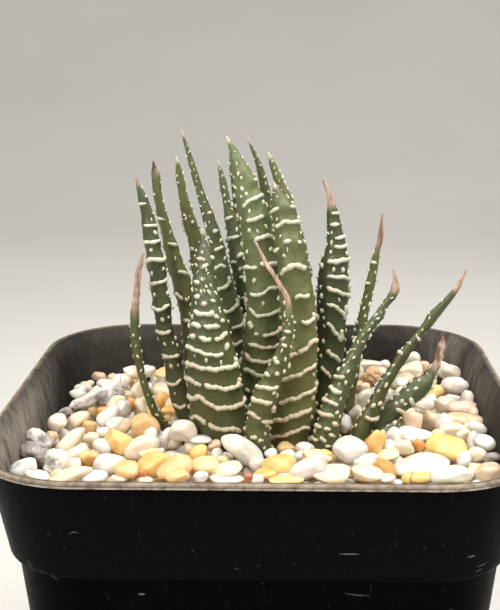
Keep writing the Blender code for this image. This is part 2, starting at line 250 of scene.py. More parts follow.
def noise(tree, where, size, detail, roughness=0.5, **settings):
    return add_node(tree, "ShaderNodeTexNoise", **settings, Vector=where, Scale=size,
                    Detail=detail, Roughness=roughness).outputs[0]


print("group helpers ready")


# %% Group: patches of colour
def make_patches():
    """Two sizes of soft noise, for a skin or a stone that is darker in places."""
    tree, given, results = start_group(
        "patches", {"Scale": 300.0, "Fine": 1500.0, "Share": 0.4, "Seed": 0.0}, "Mask", "Grain")
    where = on_object(tree)
    seeded = {"noise_dimensions": "4D", "W": given["Seed"]}
    broad = noise(tree, where, given["Scale"], 3.0, 0.55, **seeded)
    grain = noise(tree, where, given["Fine"], 4.0, 0.65, **seeded)
    both = tree.nodes.new("ShaderNodeMix")
    for index, value in ((0, given["Share"]), (2, broad), (3, grain)):
        feed(tree, both.inputs[index], value)
    mask = shift_range(tree, both.outputs[0], 0.34, 0.66)
    return end_group(tree, results, Mask=mask, Grain=grain)


patches = make_patches()


# %% Group: fine streaks
def make_streaks():
    """Noise drawn out along one axis: scratches on plastic, fibres along a leaf."""
    tree, given, results = start_group(
        "streaks", {"Stretch": (4000.0, 4000.0, 150.0), "Low": 0.6, "High": 0.7, "Seed": 0.0},
        "Mask", "Height")
    drawn_out = feed_all(tree, "ShaderNodeVectorMath", (on_object(tree), given["Stretch"]),
                         operation="MULTIPLY")
    height = noise(tree, drawn_out, 1.0, 2.5, 0.6, noise_dimensions="4D", W=given["Seed"])
    mask = feed_all(tree, "ShaderNodeMapRange", (height, given["Low"], given["High"]))
    return end_group(tree, results, Mask=mask, Height=height)


streaks = make_streaks()


# %% Group: dust and specks
def make_dust():
    """Dust that settles where a surface faces up, and small specks anywhere."""
    tree, given, results = start_group(
        "dust", {"Settled": 0.5, "Specks": 0.3, "Speck size": 900.0, "Cloud size": 120.0}, "Mask")
    where = on_object(tree)
    facing = tree.nodes.new("ShaderNodeNewGeometry").outputs["Normal"]
    split = add_node(tree, "ShaderNodeSeparateXYZ", Vector=facing)
    cloud = noise(tree, where, given["Cloud size"], 5.0, 0.7)
    cells = add_node(tree, "ShaderNodeTexVoronoi", Randomness=1.0, Vector=where,
                     Scale=given["Speck size"])
    up = shift_range(tree, split.outputs["Z"], 0.1, 0.9)
    film = times(tree, up, shift_range(tree, cloud, 0.3, 0.7))
    film = times(tree, film, given["Settled"])
    near = shift_range(tree, cells.outputs["Distance"], 0.06, 0.16, 1.0, 0.0)
    some = shift_range(tree, cloud, 0.5, 0.62)
    specks = times(tree, times(tree, near, some), given["Specks"])
    return end_group(tree, results, Mask=work_out(tree, "MAXIMUM", film, specks))


dust = make_dust()


# %% Group: one pale line, for a scratch and for a painted highlight
def make_pale_line():
    """A short pale line at one place on a wall that faces the front. It can slope and bow, its
    ends are pointed, and small chips break it."""
    tree, given, results = start_group(
        "pale_line", {"Place": (0.0, 0.0, 0.0), "Length": 0.001, "Breadth": 0.0001, "Slope": 0.0,
                    "Bow": 0.0}, "Mask")
    where = on_object(tree)
    offset = feed_all(tree, "ShaderNodeVectorMath", (where, given["Place"]), operation="SUBTRACT")
    x, y, z = add_node(tree, "ShaderNodeSeparateXYZ", Vector=offset).outputs
    chips = noise(tree, where, 7000.0, 2.0)
    along = work_out(tree, "DIVIDE", x, given["Length"])
    squared = times(tree, along, along)
    line = times(tree, x, given["Slope"])
    line = work_out(tree, "MULTIPLY_ADD", squared, given["Bow"], line)
    across = work_out(tree, "DIVIDE", work_out(tree, "SUBTRACT", z, line), given["Breadth"])
    away = work_out(tree, "MULTIPLY_ADD", across, across, squared)
    mask = times(tree, shift_range(tree, away, 0.3, 1.0, 1.0, 0.0),
                 shift_range(tree, chips, 0.35, 0.6, 0.25, 1.0))
    depth = shift_range(tree, work_out(tree, "ABSOLUTE", y), 3 * MM, 5 * MM, 1.0, 0.0)
    return end_group(tree, results, Mask=times(tree, mask, depth))


pale_line = make_pale_line()

# %% [markdown]
# Every material has the same skeleton: one Principled shader, and one bump node that feeds its
# normal. A recipe then works out three things, the colour, the roughness and the height, and
# joins them to the skeleton.

# %% The skeleton of a material
def start_material(name, bump=0.2, depth=0.0001):
    """A material, its tree, and the bump node that feeds its shader's normal."""
    material = bpy.data.materials.new(name)
    material.use_nodes = True
    tree = material.node_tree
    relief = add_node(tree, "ShaderNodeBump", Strength=bump, Distance=depth)
    tree.links.new(relief.outputs[0], tree.nodes["Principled BSDF"].inputs["Normal"])
    return material, tree, relief


def finish_material(material, relief, shade, rough, height, **constants):
    """Joins the three sockets that a recipe worked out, and sets the shader's own constants."""
    links, shader = material.node_tree.links, material.node_tree.nodes["Principled BSDF"]
    links.new(shade, shader.inputs["Base Color"])
    links.new(rough, shader.inputs["Roughness"])
    links.new(height, relief.inputs["Height"])
    for name, value in constants.items():
        shader.inputs[name.replace("_", " ")].default_value = value
    return material


def uneven(tree, grain, low, high):
    """A number that wanders between low and high with a fine grain."""
    return shift_range(tree, grain, 0.3, 0.7, low, high)


def colour(red, green, blue):
    return (red, green, blue, 1.0)


print("material helpers ready")

# %% [markdown]
# The sheet under the pot is plain card. Card is never quite even, so it gets faint clouds and a
# very small bump. It is a little below white, which keeps the far end of the sweep from glowing.

# %% Pale card for the floor
def make_card():
    material, tree, relief = start_material("pale card", 0.1, 0.0002)
    clouds = use_group(tree, patches, scale=6.0, fine=900.0, share=0.3, seed=40.0)
    grain = clouds["Grain"]
    shade = mix_colours(tree, clouds["Mask"], colour(0.60, 0.59, 0.57),
                        colour(0.64, 0.63, 0.61))
    return finish_material(material, relief, shade, uneven(tree, grain, 0.7, 0.9), grain)


floor.data.materials.append(make_card())
print("floor wears", floor.data.materials[0].name)

# %% [markdown]
# ## One way to make a piece
#
# Every piece here is a mesh worked out from numbers. A helper takes the points and the faces of
# its parts, keeps the values that colour each point, and hangs the finished piece on the body
# that carries the whole object.

# %% Helpers for pieces
triangle_counts = {}


def add_piece(name, parts, material, replaced=()):
    """One object from parts, each (points in mm, faces, {value name: one number per point}).
    Three numbers per point make a colour."""
    points = np.concatenate([p for p, _, _ in parts]) * MM
    starts = np.cumsum([0] + [len(p) for p, _, _ in parts])
    faces = [tuple(int(v) + start for v in face)
             for (_, part_faces, _), start in zip(parts, starts) for face in part_faces]
    mesh = bpy.data.meshes.new(name)
    mesh.from_pydata(points.tolist(), [], faces)
    for value_name in parts[0][2]:
        values = np.concatenate([np.asarray(v[value_name], np.float32) for _, _, v in parts])
        if values.ndim == 2:
            layer = mesh.attributes.new(value_name, "FLOAT_COLOR", "POINT")
            values = np.c_[values, np.ones(len(values), np.float32)]
            layer.data.foreach_set("color", values.ravel())
        else:
            mesh.attributes.new(value_name, "FLOAT", "POINT").data.foreach_set("value", values)
    mesh.polygons.foreach_set("use_smooth", [True] * len(mesh.polygons))
    mesh.update()
    thing = bpy.data.objects.new(name, mesh)
    bpy.context.scene.collection.objects.link(thing)
    mesh.materials.append(material)
    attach(thing, "root")
    if replaced:
        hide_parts(*replaced)
    triangle_counts[name] = sum(len(face) - 2 for face in faces)
    print(f"{name}: {triangle_counts[name]} triangles")
    return thing


def tube_faces(rings, around, first_cap=False, last_cap=False):
    """Quads between rings of points, with flat caps where asked."""
    faces = []
    for low in range(0, (rings - 1) * around, around):
        for k in range(around):
            n = (k + 1) % around
            faces.append((low + k, low + n, low + around + n, low + around + k))
    if first_cap:
        faces.append(tuple(reversed(range(around))))
    if last_cap:
        faces.append(tuple(range((rings - 1) * around, rings * around)))
    return faces


print("a tube of 3 rings of 4 has", len(tube_faces(3, 4)), "faces")

# %% [markdown]
# ## The pot
#
# A thin square pot, moulded in black plastic, with round corners, a collar near the top and a
# small bead round the rim. It could be a cube with a bevel, but then the wall has no inside. So
# the section is drawn once, up the outside, over the rim and down the inside, and each of its
# points becomes a rounded square. Small arcs replace the section's sharp corners, because a real
# moulding catches a thin line of light there.

# %% The pot's section
RIM_CORNER = 14.2        # plan radius at the rim, mm like every size below
LEAST_CORNER = 2.5
WALL = 0.8
FLOOR = 1.2
BEAD = 0.85              # the rim's bead is this tall and this wide
COLLAR_BASE = 51.5
COLLAR_STEP = 1.0        # how far the collar stands out from the body
BASE_HALF = 25.2
BODY_TOP_HALF = 30.6
COLLAR_TOP_HALF = 34.2
RIM_HALF = (pot_high.x - pot_low.x) / 2 / MM
RIM_HEIGHT = (pot_high.z - pot_low.z) / MM
# The pot's foot, in mm. The tables below give places from here, and heights above it.
POT_FOOT = np.array((pot_middle.x, pot_middle.y, pot_low.z)) / MM


def body_half(height):
    return BASE_HALF + (BODY_TOP_HALF - BASE_HALF) * height / COLLAR_BASE


def collar_half(height):
    low = BODY_TOP_HALF + COLLAR_STEP
    return low + (COLLAR_TOP_HALF - low) * (height - COLLAR_BASE) / (RIM_HEIGHT - COLLAR_BASE)


def pot_section():
    """(half width, height, rounding) up the outside, over the rim and down the inside."""
    bead = RIM_HEIGHT - BEAD
    shelf = COLLAR_BASE + WALL
    return [
        (body_half(0) - 3.0, 0.0, 0.0),
        (body_half(0) - 0.1, 0.0, 0.5),
        (body_half(COLLAR_BASE), COLLAR_BASE - 0.1, 0.35),
        (body_half(COLLAR_BASE) + COLLAR_STEP, COLLAR_BASE + 0.2, 0.35),
        (collar_half(bead), bead - 0.1, 0.3),
        (RIM_HALF, bead + 0.1, 0.25),
        (RIM_HALF, RIM_HEIGHT, 0.35),
        (RIM_HALF - BEAD, RIM_HEIGHT, 0.22),
        (collar_half(bead - 1.0) - WALL, bead - 1.0, 1.2),
        (collar_half(shelf) - WALL, shelf + 0.2, 0.4),
        (body_half(shelf) - WALL, shelf - 0.3, 0.4),
        (body_half(FLOOR) - WALL, FLOOR, 0.8),
        (body_half(FLOOR) - WALL - 4.0, FLOOR, 0.0),
    ]


def round_section(section, steps=5, hold=0.12, most=0.42):
    """Each corner becomes an arc, with one more point before and after it to keep flats flat.
    An arc takes up at most this much of the side on either hand."""
    points = np.array([p[:2] for p in section])
    line = [points[0]]
    for i in range(1, len(section) - 1):
        back, ahead = points[i - 1] - points[i], points[i + 1] - points[i]
        back_length, ahead_length = np.linalg.norm(back), np.linalg.norm(ahead)
        reach = min(section[i][2], most * back_length, most * ahead_length)
        start = points[i] + back / back_length * reach
        stop = points[i] + ahead / ahead_length * reach
        line.append(points[i] + back / back_length * (reach + hold))
        for step in range(steps + 1):
            t = step / steps
            line.append((1 - t) ** 2 * start + 2 * t * (1 - t) * points[i] + t * t * stop)
        line.append(points[i] + ahead / ahead_length * (reach + hold))
    line.append(points[-1])
    return line


def plan_corner(half):
    """The radius of a rounded square's corners: all squares share the rim's corner centres."""
    return max(RIM_CORNER - (RIM_HALF - half), LEAST_CORNER)


def rounded_square(half, height, steps=16, side_places=(0.04, 0.35, 0.65, 0.96)):
    """A square with round corners, anticlockwise, with a few points along each straight side."""
    corner = plan_corner(half)
    centre = half - corner
    points = []
    for quarter in range(4):
        middle = math.radians(45 + 90 * quarter)
        cx, cy = math.copysign(centre, math.cos(middle)), math.copysign(centre, math.sin(middle))
        for step in range(steps + 1):
            angle = math.radians(90 * (quarter + step / steps))
            points.append((cx + corner * math.cos(angle), cy + corner * math.sin(angle), height))
        along = math.radians(90 * (quarter + 1))
        for share in side_places:
            run = 2 * centre * share
            x = cx + corner * math.cos(along) - run * math.sin(along)
            y = cy + corner * math.sin(along) + run * math.cos(along)
            points.append((x, y, height))
    return points


outline = round_section(pot_section())
print("pot section:", len(outline), "points, rim half", round(RIM_HALF, 2), "mm")

# %% [markdown]
# A thin collar is never quite straight, so its front bows up a little. Values on the points tell
# the material where the inner faces, the bead with its painted highlight, the collar and the wipe
# marks are.

# %% Mould the pot
FRONT_LIFT = 0.45        # how far the collar bows up at the front
LIFT_FADES = 12.0        # the bow grows over this height above the collar's base
# Pale wipe marks on the inner wall: place, reach along each axis, strength.
SMEARS = [((-33, -3, 61), (4, 12, 3.5), 1.0), ((-33, -17, 60), (5, 9, 6), 0.9),
          ((33, 14, 61), (4, 8, 4), 0.8), ((32, 29, 60), (5, 5, 5), 0.8)]


def climb(value, start, run):
    """0 below start, 1 from start + run, and a straight rise between them."""
    return np.clip((value - start) / run, 0, 1)


def mould_pot():
    """The shell as one closed skin, with the values that its material reads."""
    rings = [rounded_square(half, height) for half, height in outline]
    around = len(rings[0])
    points = np.array([p for ring in rings for p in ring])
    height = points[:, 2].copy()
    over_the_rim = int(np.argmax([level for _, level in outline])) + 6
    inside = np.repeat([float(i > over_the_rim) for i in range(len(outline))], around)
    widths = np.repeat([half for half, _ in outline], around)
    # The rim's top and its bead are painted paler: partly where hands have rubbed the plastic, and
    # partly a painted highlight where the bead catches the light. The thin line along the bead is a
    # painted highlight, broken up like rubbed plastic.
    bead = climb(height, RIM_HEIGHT - BEAD, 0.15) * climb(widths, RIM_HALF - 0.55, 0.15)
    rim = np.maximum(bead, 0.4 * climb(height, RIM_HEIGHT - 0.14, 0.1))
    wear_and_highlight = rim * np.clip(1 - np.abs(height - RIM_HEIGHT + 0.68) / 0.22, 0, 1)
    front = np.clip(-points[:, 1] / RIM_HALF, 0, 1) ** 2
    points[:, 2] += FRONT_LIFT * front * climb(height, COLLAR_BASE, LIFT_FADES)
    smear = np.zeros(len(points))
    for place, reach, depth in SMEARS:
        away = (points - place) / reach
        smear = np.maximum(smear, depth * np.exp(-(away ** 2).sum(1)) * inside)
    values = {"inside": inside, "rim": rim, "wear_and_highlight": wear_and_highlight, "smear": smear,
              "collar": climb(points[:, 2], COLLAR_BASE + 0.2, 0.4)}
    return points + POT_FOOT, tube_faces(len(rings), around, True, True), values


shell = mould_pot()
print("shell:", len(shell[0]), "points")

# %% [markdown]
# Black plastic goes grey with use. The outside keeps a very dark skin, painted far darker than the
# plastic itself as painted shade, with hair scratches, pale nicks, a few single scratches and two
# soft painted highlights under the left corner. The inside is dull and brown, with streaks where
# watering has run down and pale marks where it was wiped. The rim is the lightest: partly where
# hands have rubbed it, and partly a painted highlight along its bead.

# %% Black plastic
FRONT_WALL = -32.5       # y of the front wall near the collar, mm
# Scratches on the front, and in the last two rows two soft painted highlights under the left
# corner:
# place across, height, half length, half breadth, slope, bow, strength.
SCRATCHES_AND_HIGHLIGHTS = [(11.0, 55.7, 1.35, 0.08, 0.01, 0, 1.12), (25.4, 55.0, 0.6, 0.11, 0, 0, 0.98),
             (26.9, 53.3, 0.8, 0.07, 0.12, 0, 0.7), (26.5, 52.6, 0.45, 0.14, 0.3, 0, 0.42),
             (12.2, 49.3, 1.9, 0.11, -0.1, 0.2, 0.42), (-21.2, 58.4, 0.7, 0.08, 0.2, -0.3, 0.7),
             # The rows from (-27.4, 52.4) on are painted highlights under the left corner, not
             # scratches.
             (-13.8, 49.1, 0.5, 0.16, 0, 0, 0.98), (-27.4, 52.4, 0.6, 0.6, -0.5, 0, 0.14),
             (-25.0, 51.3, 1.3, 0.25, -0.8, 0.4, 0.224)]


def inner_film(tree, clouds, runs):
    """The dull brown of the inner wall, with water runs and pale wipe marks."""
    brown = mix_colours(tree, clouds["Mask"], colour(0.020, 0.018, 0.0165),
                        colour(0.040, 0.036, 0.032))
    brown = tinge(tree, brown, runs["Mask"], 0.35, colour(0.085, 0.076, 0.066))
    strokes = use_group(tree, streaks, stretch=(900.0, 900.0, 90.0), low=0.3, high=0.62, seed=7.0)
    wiped = times(tree, read_attribute(tree, "smear"),
                  shift_range(tree, strokes["Height"], 0.3, 0.6, 0.3, 1.0), clamp=True)
    return mix_colours(tree, wiped, brown, colour(0.34, 0.30, 0.26))


def scars_and_highlights(tree, hairs):
    """One mask for the hair scratches, the nicks, and the scratches and painted highlights in the
    table.
    """
    nicks = use_group(tree, streaks, stretch=(260.0, 1900.0, 2600.0), low=0.74, high=0.78, seed=5.0)
    scar_and_highlight_mask = work_out(tree, "MAXIMUM", times(tree, hairs, 0.06),
                     times(tree, nicks["Mask"], 0.6))
    for x, z, length, breadth, slope, bow, strength in SCRATCHES_AND_HIGHLIGHTS:
        spot = (POT_FOOT + (x, FRONT_WALL, z)) * MM
        one = use_group(tree, pale_line, place=tuple(spot), length=length * MM,
                        breadth=breadth * MM, slope=slope, bow=bow * MM)
        scar_and_highlight_mask = work_out(tree, "MAXIMUM", scar_and_highlight_mask, times(tree, one["Mask"], strength),
                         clamp=True)
    return scar_and_highlight_mask


def make_plastic():
    material, tree, relief = start_material("worn black plastic", 0.25, 0.00006)
    inside = read_attribute(tree, "inside")
    clouds = use_group(tree, patches, scale=60.0, fine=700.0, share=0.45, seed=1.0)
    hairs = use_group(tree, streaks, stretch=(2600.0, 2600.0, 130.0), low=0.66, high=0.74, seed=2.0)
    runs = use_group(tree, streaks, stretch=(700.0, 700.0, 180.0), low=0.50, high=0.75, seed=9.0)
    film = use_group(tree, dust, settled=0.75, specks=0.5, speck_size=700.0, cloud_size=170.0)
    grain = clouds["Grain"]
    # Painted shade: the outside is coloured far darker than black plastic really is, so that it
    # reads as a front in shade. The collar is a little less dark than the body under its step.
    black = mix_colours(tree, clouds["Mask"], colour(0.0003, 0.0002, 0.0008),
                        colour(0.0010, 0.0008, 0.0018))
    black = mix_colours(tree, read_attribute(tree, "collar"), black, colour(0.0024, 0.0021, 0.0029))
    body = mix_colours(tree, inside, black, inner_film(tree, clouds, runs))
    body = mix_colours(tree, scars_and_highlights(tree, hairs["Mask"]), body, colour(0.20, 0.195, 0.19))
    # Painted highlight: the rim and its bead are paler, partly as rubbed plastic, and a thin bright
    # line runs along the bead.
    body = tinge(tree, body, read_attribute(tree, "rim"), uneven(tree, grain, 0.35, 1.0),
                 colour(0.33, 0.265, 0.205))
    body = tinge(tree, body, read_attribute(tree, "wear_and_highlight"),
                 shift_range(tree, runs["Height"], 0.35, 0.6), colour(0.60, 0.55, 0.47))
    dusty = times(tree, film["Mask"], 0.12)
    body = mix_colours(tree, dusty, body, colour(0.30, 0.27, 0.23))
    gloss = plus(tree, uneven(tree, grain, 0.34, 0.48), times(tree, inside, 0.16))
    gloss = plus(tree, gloss, times(tree, dusty, 0.5), clamp=True)
    height = work_out(tree, "SUBTRACT", grain, times(tree, hairs["Mask"], 0.6))
    return finish_material(material, relief, body, gloss, height, Specular_IOR_Level=0.12, IOR=1.17)


plastic = make_plastic()
pot = add_piece("pot_shell", [shell], plastic, ["pot"])

# %% [markdown]
# The drain holes are cut last. An exact boolean that is applied at once leaves one closed mesh
# and no cutter beside it.

# %% Drill the drain holes
DRAIN_OFFSET = 14.0      # the four outer holes are this far from the middle, along x and y
DRAIN_RADIUS = 3.2
DRILL_LENGTH = 12.0


def drill(thing, places, radius):
    """Cuts round holes down through the thing's floor, and applies each cut."""
    for x, y in places:
        mesh = bpy.data.meshes.new("drill")
        shape = bmesh.new()
        bmesh.ops.create_cone(shape, cap_ends=True, segments=40, radius1=radius * MM,
                              radius2=radius * MM, depth=DRILL_LENGTH * MM,
                              matrix=Matrix.Translation((POT_FOOT + (x, y, 0)) * MM))
        shape.to_mesh(mesh)
        shape.free()
        cutter = bpy.data.objects.new("drill", mesh)
        bpy.context.scene.collection.objects.link(cutter)
        cut = thing.modifiers.new("drain", "BOOLEAN")
        cut.object, cut.operation, cut.solver = cutter, "DIFFERENCE", "EXACT"
        graph = bpy.context.evaluated_depsgraph_get()
        cut_mesh = bpy.data.meshes.new_from_object(thing.evaluated_get(graph))
        thing.modifiers.remove(cut)
        thing.data = cut_mesh
        bpy.data.objects.remove(cutter)


corners = [(x * DRAIN_OFFSET, y * DRAIN_OFFSET) for x in (-1, 1) for y in (-1, 1)]
drill(pot, [(0, 0)] + corners, DRAIN_RADIUS)
print("pot after drilling:", len(pot.data.polygons), "faces")

# %% [markdown]
# ## Soil and stems
#
# Dark potting mix fills the pot to the pebbles. Only its underside shows, through the drain
# holes, so the solid block stays and gets a crumbly material. The short stems that the leaves
# grow from are hidden by the leaves and the stones, so they stay too, with a dry fibrous skin.

# %% Potting mix and dry stems
def make_soil():
    material, tree, relief = start_material("potting mix", 0.9, 0.0006)
    crumbs = use_group(tree, patches, scale=500.0, fine=2200.0, share=0.5, seed=3.0)
    grit = use_group(tree, dust, settled=0.2, specks=1.0, speck_size=800.0, cloud_size=500.0)
    grain = crumbs["Grain"]
    earth = mix_colours(tree, crumbs["Mask"], colour(0.012, 0.008, 0.005),
                        colour(0.070, 0.045, 0.026))
    earth = mix_colours(tree, grit["Mask"], earth, colour(0.28, 0.24, 0.19))
    return finish_material(material, relief, earth, uneven(tree, grain, 0.85, 1.0), grain)


def make_stem_skin():
    material, tree, relief = start_material("dry stem", 0.6, 0.0003)
    fibre = use_group(tree, streaks, stretch=(1500.0, 1500.0, 300.0), low=0.35, high=0.65, seed=4.0)
    bark = use_group(tree, patches, scale=700.0, fine=2500.0, share=0.5, seed=6.0)
    skin = mix_colours(tree, fibre["Mask"], colour(0.10, 0.075, 0.04),
                       colour(0.26, 0.22, 0.13))
    skin = tinge(tree, skin, bark["Mask"], 0.5, colour(0.09, 0.10, 0.045))
    rough = uneven(tree, bark["Grain"], 0.7, 0.9)
    return finish_material(material, relief, skin, rough, fibre["Height"])


def dress_node(name, material):
    """Gives a solid-model node a new material."""
    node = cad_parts[name]
    node.data.materials.clear()
    node.data.materials.append(material)
    print(name, "wears", material.name)


dress_node("soil", make_soil())
stem_skin = make_stem_skin()
for crown in ("crown_main", "crown_offset", "crown_far"):
    dress_node(crown, stem_skin)

# %% [markdown]
# ## The leaves
#
# A leaf is a long fleshy cone with a full outer face and a flatter inner face. The solid model
# holds each one as ten rings of eight corners that end in a tip. A smooth curve through those
# rings serves two jobs: it makes the fine skin, and it tells where a band or a dot sits on it.

# %% Read a leaf's rings from its node
def spline(knots, values, at):
    """A natural cubic curve through values at knots, read at the places in at."""
    count = len(knots)
    gaps = np.diff(knots)
    system = np.eye(count)
    right = np.zeros_like(values)
    for i in range(1, count - 1):
        system[i, i - 1:i + 2] = gaps[i - 1], 2 * (gaps[i - 1] + gaps[i]), gaps[i]
        slope_after = (values[i + 1] - values[i]) / gaps[i]
        slope_before = (values[i] - values[i - 1]) / gaps[i - 1]
        right[i] = 6 * (slope_after - slope_before)
    bend = np.linalg.solve(system, right)
    k = np.clip(np.searchsorted(knots, at) - 1, 0, count - 2)
    low, high, gap = (at - knots[k])[:, None], (knots[k + 1] - at)[:, None], gaps[k][:, None]
    return ((bend[k] * high ** 3 + bend[k + 1] * low ** 3) / (6 * gap)
            + (values[k] / gap - bend[k] * gap / 6) * high
            + (values[k + 1] / gap - bend[k + 1] * gap / 6) * low)


RINGS, RING_CORNERS = 10, 8


def find_rings(node):
    """The node's points without doubles, in mm, its tip, and its rings from tip to foot. The
    points one edge away from a tip are the first ring, those two edges away the second, and so
    on, and the right start is the one that gives ten rings of eight."""
    raw = np.array([v.co for v in node.data.vertices]) / MM
    _, first, same = np.unique(np.round(raw, 3), axis=0, return_index=True, return_inverse=True)
    same, points = same.ravel(), raw[first]
    near = [set() for _ in points]
    for polygon in node.data.polygons:
        corners = [same[v] for v in polygon.vertices]
        for a, b in zip(corners, corners[1:] + corners[:1]):
            if a != b:
                near[a].add(b)
                near[b].add(a)
    for tip in range(len(points)):
        seen, level, rings = {tip}, [tip], []
        while level:
            level = sorted({b for a in level for b in near[a]} - seen)
            seen |= set(level)
            rings += [level] if level else []
        if len(rings) == RINGS and all(len(ring) == RING_CORNERS for ring in rings):
            break
    return points, tip, rings


def read_rings(node):
    """For each ring from foot to tip: middle, half width, outer thickness, inner thickness."""
    points, tip, rings = find_rings(node)
    found, before, last_side = [], points[tip], None
    for i, ring in enumerate(rings):
        centre = points[ring].mean(0)
        after = points[rings[i + 1]].mean(0) if i < RINGS - 1 else 2 * centre - before
        around = points[ring] - centre
        axes = np.linalg.svd(around)[2]
        run = axes[2] if axes[2] @ (before - after) > 0 else -axes[2]
        across = np.cross(run, axes[0])
        around = around[np.argsort(np.arctan2(around @ across, around @ axes[0]))]
        spans = np.array([around[k] - around[k + 4] for k in range(4)])
        fit = np.linalg.norm(spans, axis=1)
        if last_side is not None:
            fit = np.abs(spans @ last_side) / fit
        around = np.roll(around, -int(np.argmax(fit)), axis=0)
        middle = (around[0] + around[4]) / 2
        if np.linalg.norm(around[2] - middle) < np.linalg.norm(around[6] - middle):
            around = np.roll(around, -4, axis=0)
        side = (around[0] - around[4]) / 2
        last_side = side / np.linalg.norm(side)
        found.append([centre + middle, side, around[2] - middle, around[6] - middle])
        before = centre
    return np.array(found[::-1] + [[points[tip]] + [np.zeros(3)] * 3])


leaf_names = sorted(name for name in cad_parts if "leaf" in name)
rings_of = {name: read_rings(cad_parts[name]) for name in leaf_names}
print(len(rings_of), "leaves read")

# %% [markdown]
# The solid model's leaves taper in straight lines, but real ones stay full until close to the
# tip and lean a little to one side. Each leaf therefore gets a trim: how far it slips right
# and how wide it is, at a few places on the way up, with smooth values between them.

# %% How full each leaf is
# Each place is: hundredths of the way to the tip, slip to the right in hundredths of a mm, and
# width as a percentage of the solid model's. Only the leaves that stand in view have a row.
FULLNESS = {
    "leaf_left_outer": """
    22,5,85 31,5,85 41,16,85 49,-21,79 59,6,103 66,2,100 73,29,130 79,26,144 85,42,160
    93,28,217 98,-3,248""",
    "leaf_left_inner": """
    48,58,90 53,49,101 58,47,119 67,-18,114 72,-21,114 81,-45,106 89,-42,169 94,-5,259 98,9,450""",
    "leaf_left_back": "70,50,120 75,32,138 84,-2,138 89,1,144 98,13,257",
    "leaf_front_left": """
    23,5,91 29,13,97 35,-7,97 41,-21,96 46,-17,97 52,-27,97 57,-32,92 65,-6,91 75,-22,87
    80,-22,87 85,-5,103 93,11,146""",
    "leaf_tall_left": "46,-1,85 51,-30,82 60,-9,74 68,5,70 73,-2,82 82,-9,65 92,0,88",
    "leaf_inner_left": "75,13,115 82,8,107 87,7,103 92,14,173",
    "leaf_inner_back": "71,34,133 76,30,147 81,33,162 90,26,186 95,27,283",
    "leaf_left_dry": """
    35,18,52 41,28,60 47,26,63 53,38,69 59,42,97 65,38,130 70,43,175 76,25,240 81,22,290
    88,16,290 93,-4,350 99,3,350""",
    "leaf_front_small": """
    25,0,85 31,10,86 36,-5,99 42,5,100 47,-1,85 53,38,98 58,47,93 64,26,97 69,10,104 74,27,122
    79,59,126 88,-6,108 93,-34,165""",
    "offset_leaf_upright": """
    46,-24,97 53,-36,109 60,-44,124 67,-38,137 73,-21,143 78,-17,114 83,-8,126 88,-4,138
    93,34,185""",
    "offset_leaf_slender": """
    57,-13,105 63,-26,114 71,-15,149 79,-11,170 86,9,165 92,42,330 96,21,330""",
    "offset_leaf_hooked": "38,-50,76 51,-40,78 60,-44,70 69,-60,70 78,1,98 85,-60,102 93,-23,264",
    "far_leaf_long": "45,-85,92 59,-51,102 68,-57,78 74,-46,146 79,-56,172 93,37,252 96,23,311",
    "far_leaf_low": """
    30,0,100 50,0,105 60,0,140 65,0,230 70,0,500 76,0,420 80,0,420 85,10,380 90,20,480
    95,20,760 99,10,760""",
    "leaf_front_right": """
    16,-5,85 23,31,84 29,35,82 35,55,80 45,80,74 54,87,76 62,71,89 72,48,98 79,34,118 87,60,145
    94,50,250""",
    "leaf_centre": """
    27,39,93 35,46,94 46,29,102 55,-17,113 66,-67,133 74,-69,156 81,-76,167 86,-57,176
    90,-55,190 95,-15,155""",
    "leaf_right": "60,0,95 90,0,95 98,0,180",
    "far_leaf_stub": "40,0,105 90,0,130",
}


def smooth_trim(text, count=201, spread=3):
    """Places from foot to tip, and the slip in mm and the width factor at each of them, from a
    row of the table. The spread of the smoothing is in places."""
    rows = [[float(v) for v in entry.split(",")] for entry in text.split()]
    rows = np.array([[0, 0, 100]] + rows) / 100
    at = np.linspace(0, 1, count)
    pad = 3 * spread
    weights = np.exp(-0.5 * (np.arange(-pad, pad + 1) / spread) ** 2)
    curves = []
    for column in (1, 2):
        curve = np.pad(np.interp(at, rows[:, 0], rows[:, column]), pad, mode="edge")
        curves.append(np.convolve(curve, weights / weights.sum(), mode="valid"))
    return at, *curves


print(len(FULLNESS), "leaves have a trim")

# %% [markdown]
# A leaf can now say where its skin is at any place, and which way is out. The inner face has a
# shallow groove, and the tip ends in a small round point and not in a needle.

# %% A leaf as a smooth surface
BLUNT = 0.16             # a leaf's tip is no thinner than this radius, mm
GROOVE = 0.5             # the groove takes this share of the inner face's thickness
GROOVE_SPREAD = 0.42
WAVE = 0.035             # the outer face wavers by this share of its thickness


